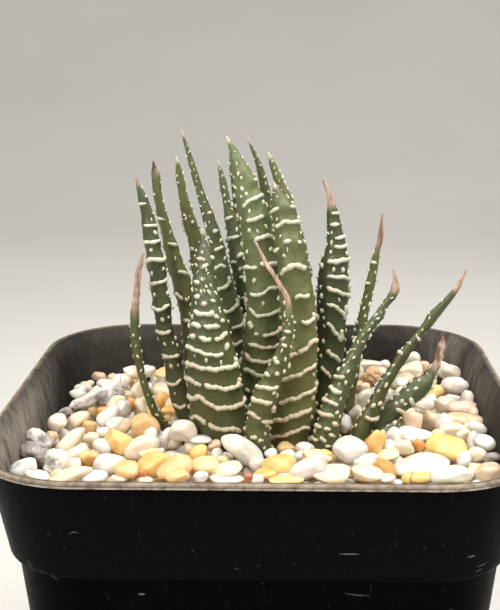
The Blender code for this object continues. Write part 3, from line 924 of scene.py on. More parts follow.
class Leaf:
    """A smooth leaf. A place on it is its share of the way from foot to tip, and an angle round
    it: 0 is one edge, 90 the middle of the outer face, 180 the other edge, 270 the inner face."""

    def __init__(self, name):
        self.name = name
        self.rings = rings_of[name]
        steps = np.linalg.norm(np.diff(self.rings[:, 0], axis=0), axis=1)
        self.length = steps.sum()
        self.knots = np.r_[0, np.cumsum(steps)] / self.length
        self.width = 2 * np.linalg.norm(self.rings[:, 1], axis=1).max()
        self.seed = sum(ord(letter) * (i + 3) for i, letter in enumerate(name)) % 997
        self.trim = smooth_trim(FULLNESS.get(name, ""))

    def section(self, share):
        """Middle, half width, outer and inner thickness at each share, as vectors in mm."""
        values = spline(self.knots, self.rings.reshape(RINGS + 1, 12), share).reshape(-1, 4, 3)
        middle, side, outer, inner = (values[:, i] for i in range(4))
        at, slips, widths = self.trim
        slip, width = (np.interp(share, at, curve)[:, None] for curve in (slips, widths))
        return middle + slip * (1.0, 0.0, 0.0), side * width, outer * width, inner * width

    def place(self, share, angle):
        """Points on the skin, in mm."""
        middle, side, outer, inner = self.section(share)
        share, turn = share[:, None], np.radians(angle)[:, None]
        rise = np.sin(turn)
        groove = 1 - (GROOVE * np.exp(-(np.cos(turn) / GROOVE_SPREAD) ** 2)
                      * np.clip(share * 4, 0, 1))
        wave = 1 + WAVE * np.sin(share * 23 + self.seed) * np.sin(2 * turn + self.seed)
        reach = (side * np.cos(turn)
                 + np.where(rise > 0, outer * rise * wave, -inner * rise * groove))
        size = np.maximum(np.linalg.norm(reach, axis=1, keepdims=True), 1e-6)
        left = np.clip((1 - share) * self.length / BLUNT, 0, 1)
        blunt = BLUNT * np.sqrt(np.clip(1 - (1 - left) ** 2, 0, 1))
        return middle + reach / size * np.sqrt(size ** 2 + blunt ** 2)

    def normal(self, share, angle, step=0.004, turn=2.0):
        """Outward directions on the skin, from places a small step away."""
        ahead = self.place(np.clip(share + step, 0, 0.999), angle)
        along = ahead - self.place(share - step, angle)
        around = self.place(share, angle + turn) - self.place(share, angle - turn)
        out = np.cross(around, along)
        out /= np.maximum(np.linalg.norm(out, axis=1, keepdims=True), 1e-9)
        middle = self.section(share)[0]
        wrong = ((self.place(share, angle) - middle) * out).sum(1) < 0
        out[wrong] *= -1
        return out


leaves = {name: Leaf(name) for name in leaf_names}
print("longest leaf:", round(max(leaf.length for leaf in leaves.values()), 1), "mm")

# %% [markdown]
# ## What makes each leaf its own
#
# Old leaves dry from the tip down. A leaf in shade is coloured a dark, bluish green and one in the
# light an olive green: partly its own colour, and partly painted shade and painted light. Each
# leaf's foot and top are also painted lighter or darker as the light falls on it. Their bands can
# be rusty low down, and some have extra warts near the top. The table holds what is special about a
# leaf, and each trait that is missing has its common value.

# %% Dry tips, tones and roughness
# dry: how much of the leaf has dried, from its tip down. tone: 0 is dark and bluish, 1 olive;
# the dark end is partly painted shade and the olive end partly painted light. The lights of the
# foot
# and of the top: painted light and shade, given as how much lighter or darker the leaf is than the
# common green. rust: the stain of its lower bands. rough_from: how far up the extra warts begin.
Traits = namedtuple("Traits", "dry tone foot_light top_light rust rough_from",
                    defaults=(0.022, 0.6, 1.0, 1.0, 0.25, 0.7))
TRAITS = {
    "leaf_left_outer": Traits(0.03, 0.45, 0.78, 0.66, rust=0.5),
    "leaf_left_inner": Traits(0.05, 0.9, 0.9, 0.95, rust=0.6),
    "leaf_left_back": Traits(tone=0.95, foot_light=0.9, top_light=0.95),
    "leaf_left_dry": Traits(0.24, 0.55),
    "leaf_front_left": Traits(tone=0.45, foot_light=1.2, top_light=0.62, rough_from=0.5),
    "leaf_front_right": Traits(tone=0.8, foot_light=1.65, top_light=0.85, rust=0.65),
    "leaf_front_small": Traits(0.25),
    "leaf_centre": Traits(tone=0.45, foot_light=1.1, top_light=1.35),
    "leaf_inner_back": Traits(tone=0.85, foot_light=1.1, top_light=1.3),
    "leaf_inner_left": Traits(tone=0.3, top_light=1.2),
    "leaf_tall_left": Traits(tone=0.45),
    "leaf_right": Traits(tone=0.85, foot_light=0.9, top_light=0.95),
    "offset_leaf_upright": Traits(0.10, 0.35, 0.65, 0.62, rough_from=0.6),
    "offset_leaf_slender": Traits(0.14, 0.8),
    "offset_leaf_hooked": Traits(0.10, 0.25),
    "far_leaf_long": Traits(0.10, 0.65, 0.7, 0.65),
    "far_leaf_low": Traits(0.23, 0.2),
    "far_leaf_stub": Traits(tone=0.3)}
COMMON = Traits()
for name, leaf in leaves.items():
    leaf.traits = TRAITS.get(name, COMMON)
print(len(TRAITS), "leaves have traits of their own")

# %% [markdown]
# ## Leaf skin
#
# Rings of points follow the smooth curve from foot to tip. Soft lumps stop the skin from looking
# turned on a lathe, and it swells a little under each band. Where a tip has dried, the ring
# shrinks and wrinkles lengthwise.

# %% Lumps on a leaf's skin
BAND_SWELL = 0.22        # the skin rises this much under a band, mm
LUMP, SMALL_LUMP = 0.07, 0.035


def ease(low, high, value):
    """0 below low, 1 above high, and a smooth step between them."""
    t = np.clip((value - low) / (high - low), 0, 1)
    return t * t * (3 - 2 * t)


def swell(points, size, seed):
    """Smooth bumps between about -1 and 1, from six waves in seeded directions."""
    draw = np.random.default_rng(seed)
    ways = draw.normal(size=(6, 3))
    ways *= 2 * math.pi / size / np.linalg.norm(ways, axis=1, keepdims=True)
    return np.sin(points @ ways.T + draw.uniform(0, 7, 6)).sum(1) / 2.6


def thickness(leaf, share, points):
    return np.linalg.norm(points - leaf.section(share)[0], axis=1)


def skin_lift(leaf, share, points):
    """How far the skin stands off its plain curve, mm. Thin places have smaller lumps."""
    lift = LUMP * swell(points, 5.0, leaf.seed) + SMALL_LUMP * swell(points, 1.6, leaf.seed + 1)
    lift += BAND_SWELL * near_bands(leaf, points)
    return lift * np.clip(thickness(leaf, share, points) / 1.2, 0.1, 1)


print("eased halfway:", ease(0, 1, 0.5))

# %% Make a leaf's skin
TIP_SHARE = 0.998        # the last ring, just short of the tip


def leaf_skin(leaf, rings, around):
    """The closed skin of one leaf and the values that colour it."""
    t = np.linspace(0, 1, rings)
    share = TIP_SHARE * (0.6 * t + 0.4 * (1 - (1 - t) ** 1.8))
    s, a = np.repeat(share, around), np.tile(np.arange(around) * 360 / around, rings)
    points, out = leaf.place(s, a), leaf.normal(s, a)
    dry = ease(1 - leaf.traits.dry * 1.15, 1 - leaf.traits.dry * 0.8, s)
    lift = skin_lift(leaf, s, points)
    wrinkle = np.sin(np.radians(a * 5) + 3 * swell(points, 4.0, leaf.seed + 2))
    pucker = 0.12 + 0.14 * wrinkle + 0.14 * swell(points, 1.3, leaf.seed + 3)
    lift -= dry * min(1, leaf.traits.dry * 8) * thickness(leaf, s, points) * pucker
    points = points + out * lift[:, None]
    tip = leaf.section(np.array([0.9995]))[0]
    last = (rings - 1) * around
    faces = tube_faces(rings, around, True)
    faces += [(last + k, last + (k + 1) % around, rings * around) for k in range(around)]
    inner = ease(-0.15, 0.5, -np.sin(np.radians(a)))
    values = {"along": np.append(s, 1.0), "inner": np.append(inner, 0.3),
              "band": np.zeros(len(s) + 1), "dry": np.append(dry, 1.0)}
    return np.vstack([points, tip]), faces, values


print("a leaf's skin carries the values along, inner, band and dry")

# %% [markdown]
# ## The bands
#
# The bands are raised rows of chalky warts that have grown together. Each one is drawn as a
# line of places on the leaf, so it bends with the skin. A low closed bead follows the line: its
# foot is sunk a little way into the leaf, its back is rounded, and its width swells and pinches
# every half millimetre or so like the warts it came from. A lone wart is just a very short band.

# %% Where the bands lie
# Each leaf has bars, then dots. A place is its thousandths of the way to the tip and its angle.
BANDS = {
    "leaf_front_left": ("""
    884,50-877,98 888,142-877,180 866,6-858,6 843,82-858,120 799,46-788,76 743,50-739,76
    724,114-717,132 713,78-713,100 672,114-657,130 691,46-679,76-676,100-683,118
    646,32-642,56-635,72 638,80-631,102-627,128 650,134-642,148 605,28-601,56
    598,66-590,82-586,100 586,108-586,128-605,150 564,4-553,52-534,86-527,124
    538,134-564,146 497,14-486,62-478,92-478,126-486,158-508,154 430,4-426,44-411,66
    419,72-407,102-400,128-407,154-430,166
    367,18-355,28-367,58-344,80-326,106-326,126-329,158-348,180 270,22-285,56-262,68
    270,76-247,92-240,118-217,146""", """
    914,6 903,84 877,98 918,8 907,86 896,6 858,50 821,6 802,88 802,98 773,106 776,128 769,28
    758,82 758,96 672,36 832,64 825,118 750,114 765,58 836,110 720,56 951,8 929,100"""),
    "leaf_front_right": ("""
    847,28-858,82-851,128-851,176 910,0-899,0 903,0-910,72 903,130-896,178 795,66-795,96
    791,120-784,134 769,10-780,44 694,40-713,60-720,98-709,134 605,40-612,60
    620,80-627,90-624,108-631,128 542,62-545,78 545,94-542,118-553,140-571,138
    434,44-437,64-445,82 445,82-452,96-460,106-478,128-482,158
    352,42-363,60-374,84-389,110-400,134-404,152
    273,46-292,74-303,98-318,122-329,150-348,144 214,32-225,64-240,88-251,112-262,136
    150,28-173,72-188,96-199,124-195,138""", """
    978,178 944,178 944,0 925,0 843,0 862,0 869,176 817,156 937,178 914,178 877,42 817,0 735,0
    653,28 817,52 575,42 508,38 471,38 370,140 296,142 229,142"""),
    "leaf_front_small": ("""
    668,52-668,126 672,180-676,180 620,64-616,108 571,46-557,58-553,88 560,178-538,180
    504,26-501,70 519,86-516,114 445,10-460,88-475,142 400,18-407,86-415,130
    404,148-370,168 352,28-352,70-344,104 337,110-322,180 270,58-273,92 262,94-258,120
    296,8-281,10""", """
    620,146 616,180 631,180 571,120 530,138 452,128 441,152 281,136 314,144 709,64 724,14
    720,138 694,98 642,62 653,178 598,78 590,176 374,20 326,24 229,118"""),
    "leaf_centre": ("""
    847,142-840,180 780,58-795,116-795,180 735,62-739,130 672,76-683,104-679,158
    590,4-598,78 609,88-605,178 516,48-516,86-534,112-538,152
    471,42-452,76-460,120-467,180 430,42-411,60 396,96-400,146-415,172 396,68-396,82
    363,46-359,78-355,124-359,172 329,34-314,62-311,98-314,152
    281,38-273,78-266,106-270,140 221,58-214,74 214,82-217,106 165,70-154,92-154,130""", """
    922,180 892,180 881,80 832,76 706,64 944,112 910,92 866,88 814,90 709,130 646,134 642,38
    620,2 549,0 568,166 557,64 489,18 489,94"""),
    "leaf_tall_left": ("""
    743,90-743,134 687,86-687,132 631,60-635,134 571,112-583,88-575,42-553,4
    508,22-516,84-527,122-545,120 441,38-445,100-460,132-475,134 389,80-389,122-404,178
    344,46-337,92-344,126 296,56-281,94-292,124 236,76-229,100-232,130 180,82-169,120""", """
    899,92 922,0 877,32 858,100 825,36 806,106 769,40 717,40 709,38 951,114 933,108 877,90
    843,84 799,34 776,104 747,44 717,82 672,34 657,50 657,134 598,18 601,130 478,36"""),
    "leaf_inner_left": ("""
    724,8-735,92-739,146 668,98-672,148-657,180 646,20-653,98 598,96-594,144
    523,92-523,136 799,42-806,136 448,48-456,108 374,52-385,102""", """
    907,112 892,180 858,88 855,142 847,180 788,180 702,16 720,180 571,164 575,58 948,126
    970,110 881,96 829,150 769,24 761,142 679,10 627,108 601,20 549,58 486,114"""),
    "leaf_inner_back": ("", """
    907,182 944,182 855,182 802,182 810,360 739,360 847,360 896,360 933,360 873,360 776,360
    832,266 773,290"""),
    "leaf_inner_right": ("""
    788,50-776,90 724,56-728,102""", """
    955,148 937,156 903,118 847,106 869,116 929,0 896,0 855,0 817,118 817,14 758,102"""),
    "leaf_right": ("""
    851,170-832,170 836,66-814,56 776,136-769,154 739,90-728,102 709,128-691,148
    657,96-646,114 642,108-620,134-605,154 568,96-557,114-530,144 516,118-534,144
    467,132-441,136 407,118-385,144 352,128-322,170""", """
    970,104 948,88 929,80 903,86 933,172 896,172 605,104 978,174 914,172 873,74 873,172 810,180
    788,70 747,128 679,110 665,128 590,112 568,136 493,128 419,152 367,166 277,156 232,140"""),
    "leaf_left_outer": ("""
    937,148-933,180 918,20-914,132 910,180-907,180 881,172-877,180 851,64-840,158-840,180
    821,22-810,22 791,18-791,136-788,180 709,18-732,42-732,130-728,180
    631,18-653,12-657,108-665,180 579,22-571,90-583,152 501,40-489,100-497,146
    419,46-407,104-411,156 326,8-314,96-326,140 247,58-232,98-236,130 687,180-698,180""", """
    974,20 966,180 948,22 896,22 862,22 732,180 862,138 817,146 769,22 765,92 761,180 702,150
    691,70 620,66 620,162 534,100 538,146 452,142 452,88 374,94 374,138 281,86"""),
    "leaf_left_inner": ("""
    959,24-955,180 821,0-806,128 732,94-717,170 635,112-624,166-609,180 571,62-545,98
    732,22-717,24 478,78-467,128 393,82-385,112 665,22-638,22""", """
    940,24 922,24 892,70 869,24 549,132 922,180 840,24 769,24 765,146 679,122 542,118 504,0"""),
    "leaf_left_back": ("", """
    985,360 944,358 922,360 881,338 888,180 806,358 817,180 732,210 937,230 914,228 847,338
    855,180 825,360 776,180 758,358 758,180 691,234"""),
    "offset_leaf_upright": ("""
    881,68-873,166 843,50-840,124 799,80-795,170 769,74-765,164 720,46-724,100-724,164
    672,50-672,96-653,168 638,52-624,92-598,164 583,56-571,90-527,140 575,134-542,144
    519,62-489,86-452,120 493,114-456,124 419,62-404,86-381,120 363,50-344,66-326,86
    706,0-717,0 665,0-668,0""", """
    907,0 877,0 840,0 802,0 784,0 750,0 907,166 836,168 817,58 784,58 754,56 706,20 676,172
    665,4 631,158 616,168 564,0 560,0 553,38 620,0 605,34 590,0 631,0 583,26 527,18 504,0
    501,50 463,12 448,48 411,4 396,42 367,22 739,6 776,16 814,26 698,74 594,102 530,46 542,0"""),
    "offset_leaf_slender": ("""
    720,0-728,62 571,0-557,20 806,0-806,92""", """
    665,0 638,0 646,112 627,56 944,0 914,0 922,156 873,0 869,154 843,0 829,170 773,0 769,98
    698,0 691,128 672,52 605,0 598,84 534,0 523,82"""),
    "offset_leaf_hooked": ("""
    478,0-489,38-493,76 437,0-430,40-434,90 370,0-381,62-374,94 318,0-322,48-326,90
    266,0-270,52 270,62-273,92 303,90-292,124 214,0-221,52 236,56-221,84 255,88-247,120
    206,82-206,106 214,0-199,0""", """
    925,54 892,0 836,30 799,82 776,42 743,70 661,0 646,0 698,0 687,70 594,0 609,26 620,58 866,0
    821,14 821,122 773,84 717,86 650,58 665,102 538,36 512,0 557,54 586,82 523,80 460,58 475,92
    396,0 378,0 344,0 292,0 407,98 348,100 244,16 333,122"""),
    "far_leaf_long": ("""
    780,0-773,0 672,58-665,152 288,38-288,92-314,138 571,0-590,0""", """
    761,32 672,44 598,0 579,30 486,36 404,34 441,66 340,50 363,86 631,32 631,0 706,52 482,0
    523,30 385,0 340,0 303,0"""),
    "far_leaf_low": ("""
    467,0-497,0 542,0-568,0 594,0-624,0 530,64-530,144 598,142-586,140 422,58-445,120
    650,0-687,0""", """
    601,48 478,52 735,0 769,0 743,140 694,140 650,138 553,28 650,28 489,2 486,74 441,2 441,42"""),
    "far_leaf_stub": ("""
    855,0-899,0-855,44 717,0-717,0-713,36""", """
    788,0 896,134"""),
    "leaf_left_dry": ("", """
    825,24 832,180 776,22 765,180 720,42 706,180 668,94 653,180 627,112 601,180 583,116 553,180
    527,114 504,180 478,110 448,180 422,116 400,178 374,118 344,180 329,120 288,156"""),
}


def read_places(text):
    """(share, angle) for each place in a line of the table."""
    pairs = (place.split(",") for place in text.split("-"))
    return [(float(share) / 1000, float(angle)) for share, angle in pairs]


def read_bands(name):
    """Lists of lines for the bars, and of single places for the dots."""
    bars, dots = BANDS[name]
    return [read_places(bar) for bar in bars.split()], [read_places(dot)[0] for dot in dots.split()]


counts = [sum(len(row[kind].split()) for row in BANDS.values()) for kind in (0, 1)]
print("in the table:", counts[0], "bars and", counts[1], "dots")

# %% [markdown]
# The leaves at the back have no row in the table. A rule grows theirs: a row of bars every two or
# three millimetres, closer together near the tip, some rows broken, and only dots near the top.

# %% Bands by rule
BAND_PITCH = 2.5         # mm from row to row
BROKEN_ROWS = 0.45       # the share of rows that have a gap or two
SHORTEST_BAR = 14        # degrees round the leaf
DOTS_ABOVE = 0.8


def grow_bands(leaf):
    """Broken bars round the outer face, then dots."""
    draw = np.random.default_rng(leaf.seed)
    bars, dots = [], []
    at = 0.1
    while at < 0.97:
        breaks = sorted(draw.uniform(25, 155, 2 if draw.random() < BROKEN_ROWS else 0))
        starts = [4] + [turn + 6 for turn in breaks]
        stops = [turn - 6 for turn in breaks] + [176]
        for start, stop in zip(starts, stops):
            if stop - start < SHORTEST_BAR or at > DOTS_ABOVE:
                dots.append((at + draw.uniform(-0.01, 0.01), (start + stop) / 2))
                continue
            slip = draw.uniform(-0.012, 0.012)
            bars.append([(at + slip + draw.uniform(-0.005, 0.005), float(turn))
                         for turn in np.arange(start, stop + 1, 22.0)])
        at += BAND_PITCH / leaf.length * draw.uniform(0.8, 1.25) * (1.15 - 0.45 * at)
    return [bar for bar in bars if len(bar) > 1], dots


hidden = [name for name in leaf_names if name not in BANDS]
print("leaves with bands by rule:", len(hidden))

# %% [markdown]
# Small warts also stand along both margins, on the face without bars, and near a broad leaf's
# tip. They are drawn by seeded chance, and a wart that would touch another mark is left out.

# %% Choose every mark of every leaf
WART_ROOM = 0.75         # a new wart keeps this far from the marks already there, mm
MARGIN_PITCH = 1.5
BROAD = 4                # a leaf wider than this gets extra warts near its tip, mm


def bend_points(leaf, line, count):
    """Points in mm, evenly spaced by knot, along a line of places."""
    line = np.array(line)
    run = np.linspace(0, len(line) - 1, count)
    share, angle = (np.interp(run, range(len(line)), line[:, k]) for k in range(2))
    return leaf.place(share, angle)


def point_tree(points):
    tree = KDTree(len(points))
    for point in points:
        tree.insert(point, 0)
    tree.balance()
    return tree


def distance_to(tree, points):
    return np.array([tree.find(point)[2] for point in points])


def all_marks(leaf):
    """The leaf's bars, its dots and warts, and the draw that shapes them later."""
    bars, dots = read_bands(leaf.name) if leaf.name in BANDS else grow_bands(leaf)
    draw = np.random.default_rng(leaf.seed + 50)
    taken = [bend_points(leaf, bar, 12) for bar in bars] + [leaf.place(*np.array(dots).T)]
    taken = point_tree(np.vstack(taken))
    facing_in = bars and np.mean([angle for bar in bars for _, angle in bar]) > 180
    spare = 90.0 if facing_in else 270.0
    more = [(draw.uniform(0.25, 0.95), spare + draw.uniform(-62, 62))
            for _ in range(int(leaf.length * 0.5))]
    for margin in (0.0, 180.0):
        for at in np.arange(0.06, 0.97, MARGIN_PITCH / leaf.length):
            more.append((at + draw.uniform(-0.2, 0.2) / leaf.length, margin + draw.uniform(-9, 9)))
    if leaf.width > BROAD and not facing_in:
        pitch = 0.75 if leaf.traits.rough_from == COMMON.rough_from else 0.5
        for at in np.arange(leaf.traits.rough_from, 0.965, pitch / leaf.length):
            more.append((at, draw.uniform(25, 155)))
    room = distance_to(taken, leaf.place(*np.array(more).T))
    return bars, dots + [dot for dot, away in zip(more, room) if away > WART_ROOM], draw


marks = {name: all_marks(leaf) for name, leaf in leaves.items()}
bar_trees = {name: point_tree(np.vstack([bend_points(leaves[name], bar, 20) for bar in bars]))
             for name, (bars, _, _) in marks.items() if bars}
print("marks on all leaves:", sum(len(bars) + len(dots) for bars, dots, _ in marks.values()))


def near_bands(leaf, points):
    """1 on a bar's line, fading to nothing within two millimetres of it."""
    if leaf.name not in bar_trees:
        return np.zeros(len(points))
    return np.exp(-(distance_to(bar_trees[leaf.name], points) / 0.75) ** 2)


# %% Raise a band
BEAD_SINKS = 0.03        # a bead's foot is this far under the skin, mm
BEAD_CORNERS = 8
BEAD_STEP = 0.22         # mm between the rings of a bead
SAME_PLACE = 0.02        # two places closer than this are one, mm


def unit_rows(rows):
    return rows / np.maximum(np.linalg.norm(rows, axis=1, keepdims=True), 1e-9)


def bead_line(leaf, line, half_width, height, draw):
    """A closed bead along a line of (share, angle) places, rounded at both ends."""
    line = np.array(line, float)
    steps = np.linalg.norm(np.diff(leaf.place(*line.T), axis=0), axis=1)
    apart = steps > SAME_PLACE
    line, run = line[np.r_[True, apart]], np.r_[0, np.cumsum(steps[apart])]
    total = run[-1]
    count = max(4, int(total / BEAD_STEP) + 1)
    at = np.linspace(0, total, count)
    if len(run) > 2:
        line = spline(run, line, at)
    else:
        line = np.column_stack([np.interp(at, run, line[:, k]) for k in range(2)])
    share, angle = np.clip(line[:, 0], 0.01, 0.985), line[:, 1]
    foot, out = leaf.place(share, angle), leaf.normal(share, angle)
    foot = foot + out * (skin_lift(leaf, share, foot) - BEAD_SINKS)[:, None]
    across = np.cross(out, unit_rows(np.gradient(foot, axis=0)))
    from_end = np.clip((np.minimum(at, total - at) + 0.05) / (half_width * 1.2), 0, 1)
    rounded = np.sqrt(np.clip(1 - (1 - from_end) ** 2, 0.05, 1))
    pitch = draw.uniform(0.66, 0.9)
    phase = at / pitch + draw.random() + 0.18 * np.sin(at * 1.9 + draw.uniform(0, 6))
    warts = np.abs(np.cos(math.pi * phase)) ** 0.8
    knots = np.arange(0, total + pitch, pitch)
    size = np.interp(at, knots, draw.uniform(0.85, 1.2, len(knots)))
    wide = half_width * rounded * size * (0.72 + 0.38 * warts)
    tall = height * rounded * size * (0.62 + 0.52 * warts)
    drift = 0.07 * np.sin(at * 2 * math.pi / (pitch * 2.3) + draw.uniform(0, 6)) * (total > 1.5)
    foot = foot + across * drift[:, None]
    turns = np.arange(BEAD_CORNERS) * 2 * math.pi / BEAD_CORNERS
    ring = (foot[:, None] + across[:, None] * (np.cos(turns)[None] * wide[:, None])[..., None]
            + out[:, None] * (np.sin(turns)[None] * tall[:, None] - 0.02)[..., None])
    return ring.reshape(-1, 3), tube_faces(count, BEAD_CORNERS, True, True), share


print("a bead has a ring every", BEAD_STEP, "mm")

# %% Raise every mark of a leaf
DOT_HALF_WIDTHS, DOT_HEIGHT = (0.48, 0.70), 0.95      # mm, and height as a share of half width
BAR_HALF_WIDTHS, BAR_HEIGHT = (0.30, 0.38), 1.1
HUSK_BARE = 0.04         # a dry tip longer than this share of the leaf has lost its marks
RUST_ENDS, TOP_RUST = 0.55, 0.2          # above this share of the way up, this much stain


def leaf_bands(leaf):
    """Every raised mark of one leaf as parts to join to its skin."""
    bars, dots, draw = marks[leaf.name]
    parts = []
    breadth = min(1, 0.72 + leaf.width / 22)
    husk_from = 1 - 1.1 * leaf.traits.dry if leaf.traits.dry > HUSK_BARE else 1
    for i, line in enumerate(bars + dots):
        is_dot = i >= len(bars)
        if (line[0] if is_dot else max(share for share, _ in line)) > husk_from:
            continue
        if is_dot:
            share, angle = line
            reach = draw.uniform(16, 42) / leaf.width
            line = [(share, angle - reach), (share + draw.uniform(-0.004, 0.004), angle + reach)]
        at = np.mean([share for share, _ in line])
        shrink = 1 - 0.3 * ease(0.75, 1.0, at)
        wide = draw.uniform(*(DOT_HALF_WIDTHS if is_dot else BAR_HALF_WIDTHS)) * shrink * breadth
        tall = wide * (DOT_HEIGHT if is_dot else BAR_HEIGHT)
        points, faces, shares = bead_line(leaf, line, wide, tall, draw)
        rust = leaf.traits.rust if at < RUST_ENDS else TOP_RUST
        stain = np.clip(draw.normal(rust, 0.22), 0, 1)
        n = len(points)
        parts.append((points, faces, {"along": np.repeat(shares, BEAD_CORNERS),
                                      "inner": np.zeros(n), "band": np.ones(n),
                                      "dry": np.full(n, stain)}))
    return parts


sample = leaves["leaf_front_left"]
print("marks raised on", sample.name, "as a test:", len(leaf_bands(sample)))


# %% [markdown]
# ## Leaf flesh and chalk
#
# Leaf flesh is dense and slightly waxy. The colour runs from a dark green at the foot, which is
# painted shade, to a paler olive near the tip, with fine fibres, and the inner face is lighter. A
# weak scattering of light under the surface keeps it from looking like paint. Each leaf has its own
# copy of the recipe, and the chalk of its bands is in it too, so that a leaf and its marks stay one
# piece.

# %% Leaf skin, husk and chalk
HUSKS = {"brown": (colour(0.22, 0.115, 0.075), colour(0.62, 0.45, 0.35)),
         "pale": (colour(0.34, 0.29, 0.18), colour(0.66, 0.63, 0.50)),
         "dark": (colour(0.05, 0.032, 0.022), colour(0.50, 0.40, 0.31))}
SHORT_HUSK = 0.08        # a named dry tip shorter than this share of the leaf is dark
# The foot green is darker than the body as painted shade. The cold tones are darker than the warm
# ones, partly as painted shade.
GREENS = {        # each between a cold tone and a warm one
    "foot": ((0.028, 0.038, 0.017), (0.054, 0.053, 0.013)),
    "body": ((0.051, 0.067, 0.027), (0.103, 0.103, 0.024)),
    "top": ((0.059, 0.080, 0.040), (0.114, 0.126, 0.040)),
    "inner face": ((0.085, 0.120, 0.060), (0.150, 0.165, 0.055)),
    "fibre": ((0.110, 0.135, 0.075), (0.180, 0.185, 0.070)),
    "cloud": ((0.022, 0.030, 0.016), (0.038, 0.040, 0.012)),
    "mottle": ((0.130, 0.165, 0.080), (0.200, 0.215, 0.070))}


def leaf_green(kind, tone, light=1.0):
    """One of the greens at this tone, made lighter or darker by the leaf's painted light and shade.
    """
    return colour(*((cold + (warm - cold) * tone) * light for cold, warm in zip(*GREENS[kind])))


def living_green(tree, traits, along, fibre, cloud, mottle):
    """The green of the flesh, from a foot painted dark as shade up to the top, lit or shaded by the
    leaf's own painted light, with its fibres, clouds and mottle.
    """
    tone, foot_light, top_light = traits.tone, traits.foot_light, traits.top_light
    # Painted shade and light: the foot is darkened as shade, and the foot and the top take the
    # leaf's painted light.
    lower = mix_colours(tree, shift_range(tree, along, 0.0, 0.35),
                        leaf_green("foot", tone, foot_light), leaf_green("body", tone, foot_light))
    green = mix_colours(tree, shift_range(tree, along, 0.3, 0.95), lower,
                        leaf_green("top", tone, top_light))
    for mask, strength, kind, light in (
            (read_attribute(tree, "inner"), 0.55, "inner face", top_light),
            (fibre["Mask"], 0.35, "fibre", top_light),
            (cloud["Mask"], 0.55, "cloud", 1.0),
            (mottle["Mask"], 0.36, "mottle", top_light)):
        green = tinge(tree, green, mask, strength, leaf_green(kind, tone, light))
    return green


def band_chalk(tree, along, cloud, dry):
    """The chalk of the bands: creamy low down, greyer above, with dirty and rusty places."""
    chalk = mix_colours(tree, shift_range(tree, along, 0.25, 0.6), colour(0.54, 0.485, 0.345),
                        colour(0.60, 0.635, 0.49))
    chalk = tinge(tree, chalk, cloud["Mask"], 0.5, colour(0.44, 0.41, 0.28))
    return tinge(tree, chalk, dry, 0.55, colour(0.50, 0.33, 0.22))


def make_leaf_skin(leaf):
    material, tree, relief = start_material(f"skin of {leaf.name}", 0.35, 0.00012)
    seed = float(leaf.seed % 90)
    along, band, dry = (read_attribute(tree, value) for value in ("along", "band", "dry"))
    fibre = use_group(tree, streaks, stretch=(1600.0, 1600.0, 110.0), low=0.35, high=0.7, seed=seed)
    cloud = use_group(tree, patches, scale=230.0, fine=2100.0, share=0.3, seed=seed + 4)
    mottle = use_group(tree, patches, scale=850.0, fine=3400.0, share=0.5, seed=seed + 8)
    kind = "dark" if leaf.traits.dry < SHORT_HUSK else "brown"
    husk = mix_colours(tree, fibre["Mask"],
                       *HUSKS["pale" if leaf.traits.dry == COMMON.dry else kind])
    green = living_green(tree, leaf.traits, along, fibre, cloud, mottle)
    flesh = mix_colours(tree, dry, green, husk)
    skin = mix_colours(tree, band, flesh, band_chalk(tree, along, cloud, dry))
    rough = plus(tree, uneven(tree, cloud["Grain"], 0.34, 0.52), times(tree, band, 0.15))
    rough = plus(tree, rough, times(tree, dry, 0.25), clamp=True)
    height = plus(tree, cloud["Grain"], times(tree, fibre["Height"], 0.8))
    return finish_material(material, relief, skin, rough, height, Subsurface_Weight=0.08,
                           Subsurface_Radius=(0.6, 1.0, 0.3), Subsurface_Scale=0.0012,
                           Specular_IOR_Level=0.45)


print(len(GREENS), "greens and", len(HUSKS), "husks")

# %% Grow every leaf
LONG_LEAF = 25           # mm; a shorter leaf needs fewer rings

for name, leaf in leaves.items():
    rings, around = (96, 40) if leaf.length > LONG_LEAF else (56, 28)
    parts = [leaf_skin(leaf, rings, around)] + leaf_bands(leaf)
    add_piece(f"{name}_skin", parts, make_leaf_skin(leaf), [name])
print(len(leaves), "leaves grown")

# %% [markdown]
# ## The pebbles
#
# Polished quartz chips, two to five millimetres long, in white, cream, honey and orange. Stones
# of one family share a material and make one piece. The last table says how often each colour
# turns up in the fill.

# %% The colours of the stones
STONE_COLOURS = {
    "white": (0.74, 0.71, 0.64), "pinkwhite": (0.74, 0.67, 0.60), "bluewhite": (0.74, 0.72, 0.66),
    "lilacwhite": (0.64, 0.60, 0.57), "cream": (0.76, 0.69, 0.54),
    "creamyellow": (0.79, 0.67, 0.42), "yellow": (0.79, 0.60, 0.24),
    "yellowamber": (0.79, 0.56, 0.21), "amber": (0.79, 0.52, 0.19),
    "peachamber": (0.80, 0.60, 0.31), "orange": (0.78, 0.45, 0.15),
    "orangebrown": (0.72, 0.40, 0.13), "orangered": (0.55, 0.20, 0.09),
    "redbrown": (0.44, 0.19, 0.12), "tan": (0.75, 0.64, 0.48), "clay": (0.64, 0.43, 0.25),
    "peach": (0.78, 0.62, 0.45), "ochre": (0.60, 0.43, 0.19), "stonegrey": (0.44, 0.40, 0.35),
    "lilac": (0.36, 0.33, 0.32)}
FAMILIES = {"white": ("white", "pinkwhite", "bluewhite", "lilacwhite"),
            "cream": ("cream", "creamyellow"), "yellow": ("yellow", "yellowamber"),
            "amber": ("amber", "peachamber"),
            "orange": ("orange", "orangebrown", "orangered", "redbrown"),
            "brown": ("tan", "clay", "peach", "ochre"), "grey": ("stonegrey", "lilac")}
FILL_SHARES = {"white": 38, "cream": 24, "pinkwhite": 9, "bluewhite": 8, "tan": 6,
               "creamyellow": 6, "yellow": 4, "amber": 4, "peach": 4, "orange": 2, "stonegrey": 2,
               "ochre": 1, "yellowamber": 2}
